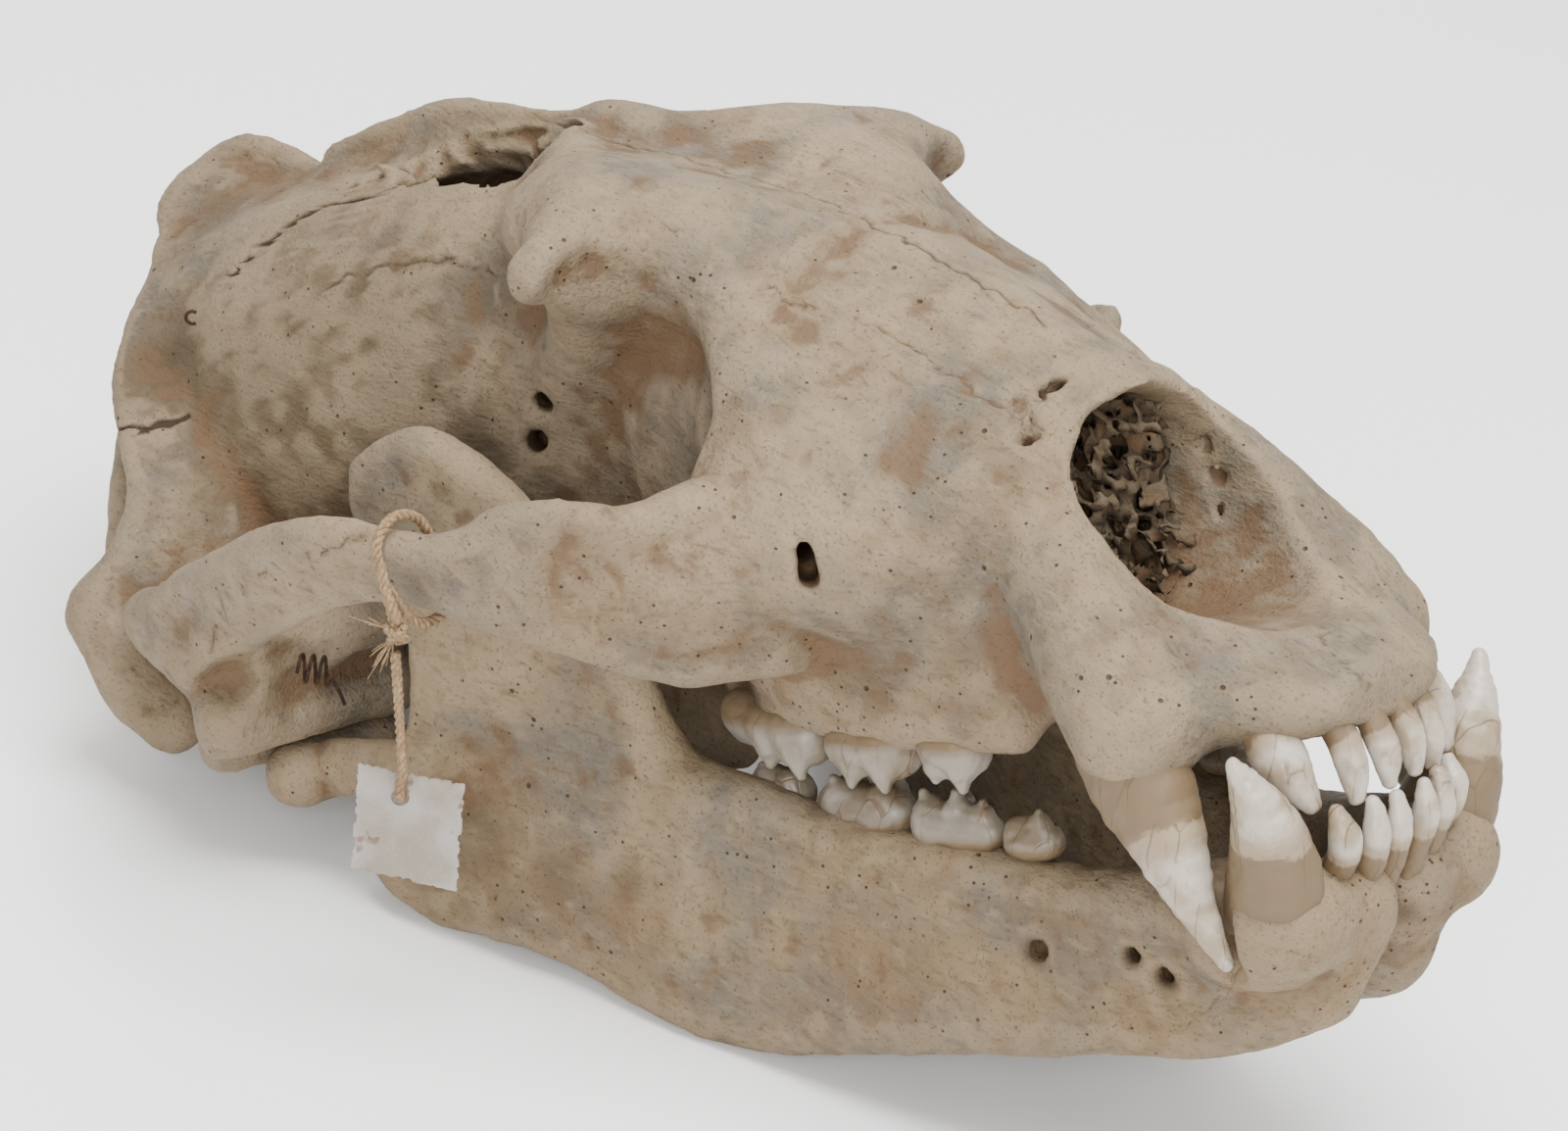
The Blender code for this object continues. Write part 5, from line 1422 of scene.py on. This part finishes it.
def tag_points():
    """A grid over the tag, its rim torn, as places across and up from the hole."""
    share = np.linspace(0.0, 1.0, TAG_ROWS)
    a, b, c, d = (np.array(corner) for corner in TAG_CORNERS)
    right, down = np.meshgrid(share, share, indexing="ij")
    right = right[..., None]
    down = down[..., None]
    flat = (1 - down) * ((1 - right) * a + right * b) + down * ((1 - right) * d + right * c)
    middle = flat.reshape(-1, 2).mean(axis=0)
    rim = np.minimum(np.minimum(right, 1 - right), np.minimum(down, 1 - down)) * TAG_ROWS
    torn = 0.5 + 0.5 * waves(flat[..., :1], flat[..., 1:], 0.0, 3.2, 41)
    torn = torn + 0.5 * waves(flat[..., :1], flat[..., 1:], 0.0, 1.2, 42)
    pull = TEAR * np.clip(torn, 0.0, 1.6) * np.clip(1.0 - rim / 3.0, 0.0, 1.0)
    toward = middle - flat
    toward = toward / np.maximum(np.linalg.norm(toward, axis=-1, keepdims=True), 1e-6)
    return flat + pull * toward


def tag_mesh(finish):
    flat = tag_points()
    u = flat[..., 0]
    v = flat[..., 1]
    away = np.hypot(u, v)
    near = np.abs(away - TAG_HOLE_RADIUS) < 0.30
    grow = np.where(near, TAG_HOLE_RADIUS / np.maximum(away, 1e-6), 1.0)
    u = u * grow
    v = v * grow
    across = level_direction(TAG_HEADING)
    normal = tag_normal()
    curl = TAG_CURL * np.sin(0.21 * u + 0.9) * np.sin(0.17 * v) + 0.06 * waves(u, v, 0.0, 6.0, 43)
    base = np.array(TAG_HOLE) + u[..., None] * across + v[..., None] * world_up() + curl[..., None] * normal
    points = []
    for side in (-0.5, 0.5):
        points.extend((base + side * TAG_THICKNESS * normal).reshape(-1, 3))
    half = len(points) // 2
    faces = []
    sides = {}
    for i in range(TAG_ROWS - 1):
        for j in range(TAG_ROWS - 1):
            corners = [(i, j), (i + 1, j), (i + 1, j + 1), (i, j + 1)]
            if np.hypot(u[i : i + 2, j : j + 2], v[i : i + 2, j : j + 2]).mean() < TAG_HOLE_RADIUS:
                continue
            ids = [half + p * TAG_ROWS + q for p, q in corners]
            faces.append(ids[::-1])
            faces.append([index - half for index in ids])
            for one, two in zip(ids, ids[1:] + ids[:1]):
                if sides.pop((two, one), None) is None:
                    sides[(one, two)] = True
    faces.extend([one, two, two - half, one - half] for one, two in sides)
    mesh = bpy.data.meshes.new("tag_sheet")
    mesh.from_pydata([AT_REST @ Vector(row) for row in points], [], faces)
    mesh.materials.append(finish)
    made = bpy.data.objects.new("tag_sheet", mesh)
    bpy.context.scene.collection.objects.link(made)
    return made


def paper_finish():
    """Yellowed paper, clouded darker in patches, with rust spots and a faint fibre."""
    finish, tree, shader, where = new_finish("paper")
    cloud = grain(tree, where, 90.0, 5.0)
    spot = grain(tree, where, 210.0, 3.0)
    fibre = grain(tree, where, 1600.0, 4.0)
    colour = tint(tree, band(tree, cloud, 0.42, 0.68, 0.0, 0.8), PAPER_WHITE, PAPER_YELLOW)
    colour = tint(tree, band(tree, spot, 0.61, 0.70, 0.0, 0.75), colour, RUST_SPOT)
    colour = tint(tree, band(tree, fibre, 0.55, 0.75, 0.0, 0.25), colour, (0.42, 0.37, 0.30))
    roughness = band(tree, cloud, 0.3, 0.7, 0.72, 0.88)
    surface_nodes(tree, shader, colour, roughness, fibre, 0.3, 0.0002)
    return finish


tag = tag_mesh(paper_finish())
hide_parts("paper_tag")
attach(tag, "upper_skull")


def string_route():
    """From just under the knot down to the tag's hole and through it, in skull millimetres."""
    down = -world_up()
    forward = tag_normal()
    hole = np.array(TAG_HOLE)
    start = np.array(KNOT) + 4.0 * down
    return [
        start,
        start * 0.62 + (hole - 9.0 * down + 1.9 * forward) * 0.38,
        hole - 9.0 * down + 2.0 * forward,
        hole - 4.0 * down + 2.1 * forward,
        hole - 1.2 * down + 1.6 * forward,
        hole - 0.1 * down - 0.2 * forward,
        hole - 2.4 * forward,
    ]


hanging = smooth_path(string_route(), 60)
string = tube_mesh("twine_to_tag", twisted(hanging, TWINE_RADIUS), twine_look, 7)
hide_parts("tag_string")
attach(string, "upper_skull")

# The wire: thin rusted mending wire, three turns of it beside the right jaw joint with a bent
# tail, and one small hook that stands out of the crack behind the braincase.
WIRE_RADIUS = 0.4
SPRING_MIDDLE = (109.5, -83.5, 20.0)
SPRING_RADIUS = 3.0
SPRING_PITCH = 2.3
HOOK_MIDDLE = (48.7, -52.0, 87.8)
HOOK_RADIUS = 1.5


def wire_finish():
    """Iron wire gone to rust: dark brown with orange bloom, rough and dull."""
    finish, tree, shader, where = new_finish("rusty_wire")
    bloom = grain(tree, where, 700.0, 5.0)
    colour = tint(tree, band(tree, bloom, 0.42, 0.64), (0.014, 0.010, 0.008), (0.045, 0.022, 0.012))
    shader.inputs["Specular IOR Level"].default_value = 0.05
    roughness = band(tree, bloom, 0.3, 0.7, 0.55, 0.9)
    surface_nodes(tree, shader, colour, roughness, bloom, 0.6, 0.0002)
    return finish


def spring_route():
    middle = np.array(SPRING_MIDDLE)
    along = level_direction(math.radians(44.0))
    outward = level_direction(math.radians(-46.0))
    up = world_up()
    turns = []
    for step in range(37):
        angle = math.radians(step * 30.0)
        shift = (step / 12.0 - 1.5) * SPRING_PITCH
        ring = math.cos(angle) * outward * 0.8 + math.sin(angle) * up
        turns.append(middle + shift * along + SPRING_RADIUS * ring)
    end = turns[-1]
    return [*turns, end + 2.0 * along - 3.0 * up, end + 3.6 * along - 6.4 * up]


def hook_route():
    middle = np.array(HOOK_MIDDLE)
    across = level_direction(math.radians(44.0))
    angles = [math.radians(turn) for turn in range(60, 301, 30)]
    return [middle + HOOK_RADIUS * (math.cos(a) * across + math.sin(a) * world_up()) for a in angles]


wire_look = wire_finish()
for name, node, route in (
    ("wire_turns", "wire_spring", spring_route()),
    ("wire_end", "wire_hook", hook_route()),
):
    path = smooth_path(route, 6 * len(route))
    wire = tube_mesh(name, [(path, np.full(len(path), WIRE_RADIUS))], wire_look, 12)
    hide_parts(node)
    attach(wire, "upper_skull")
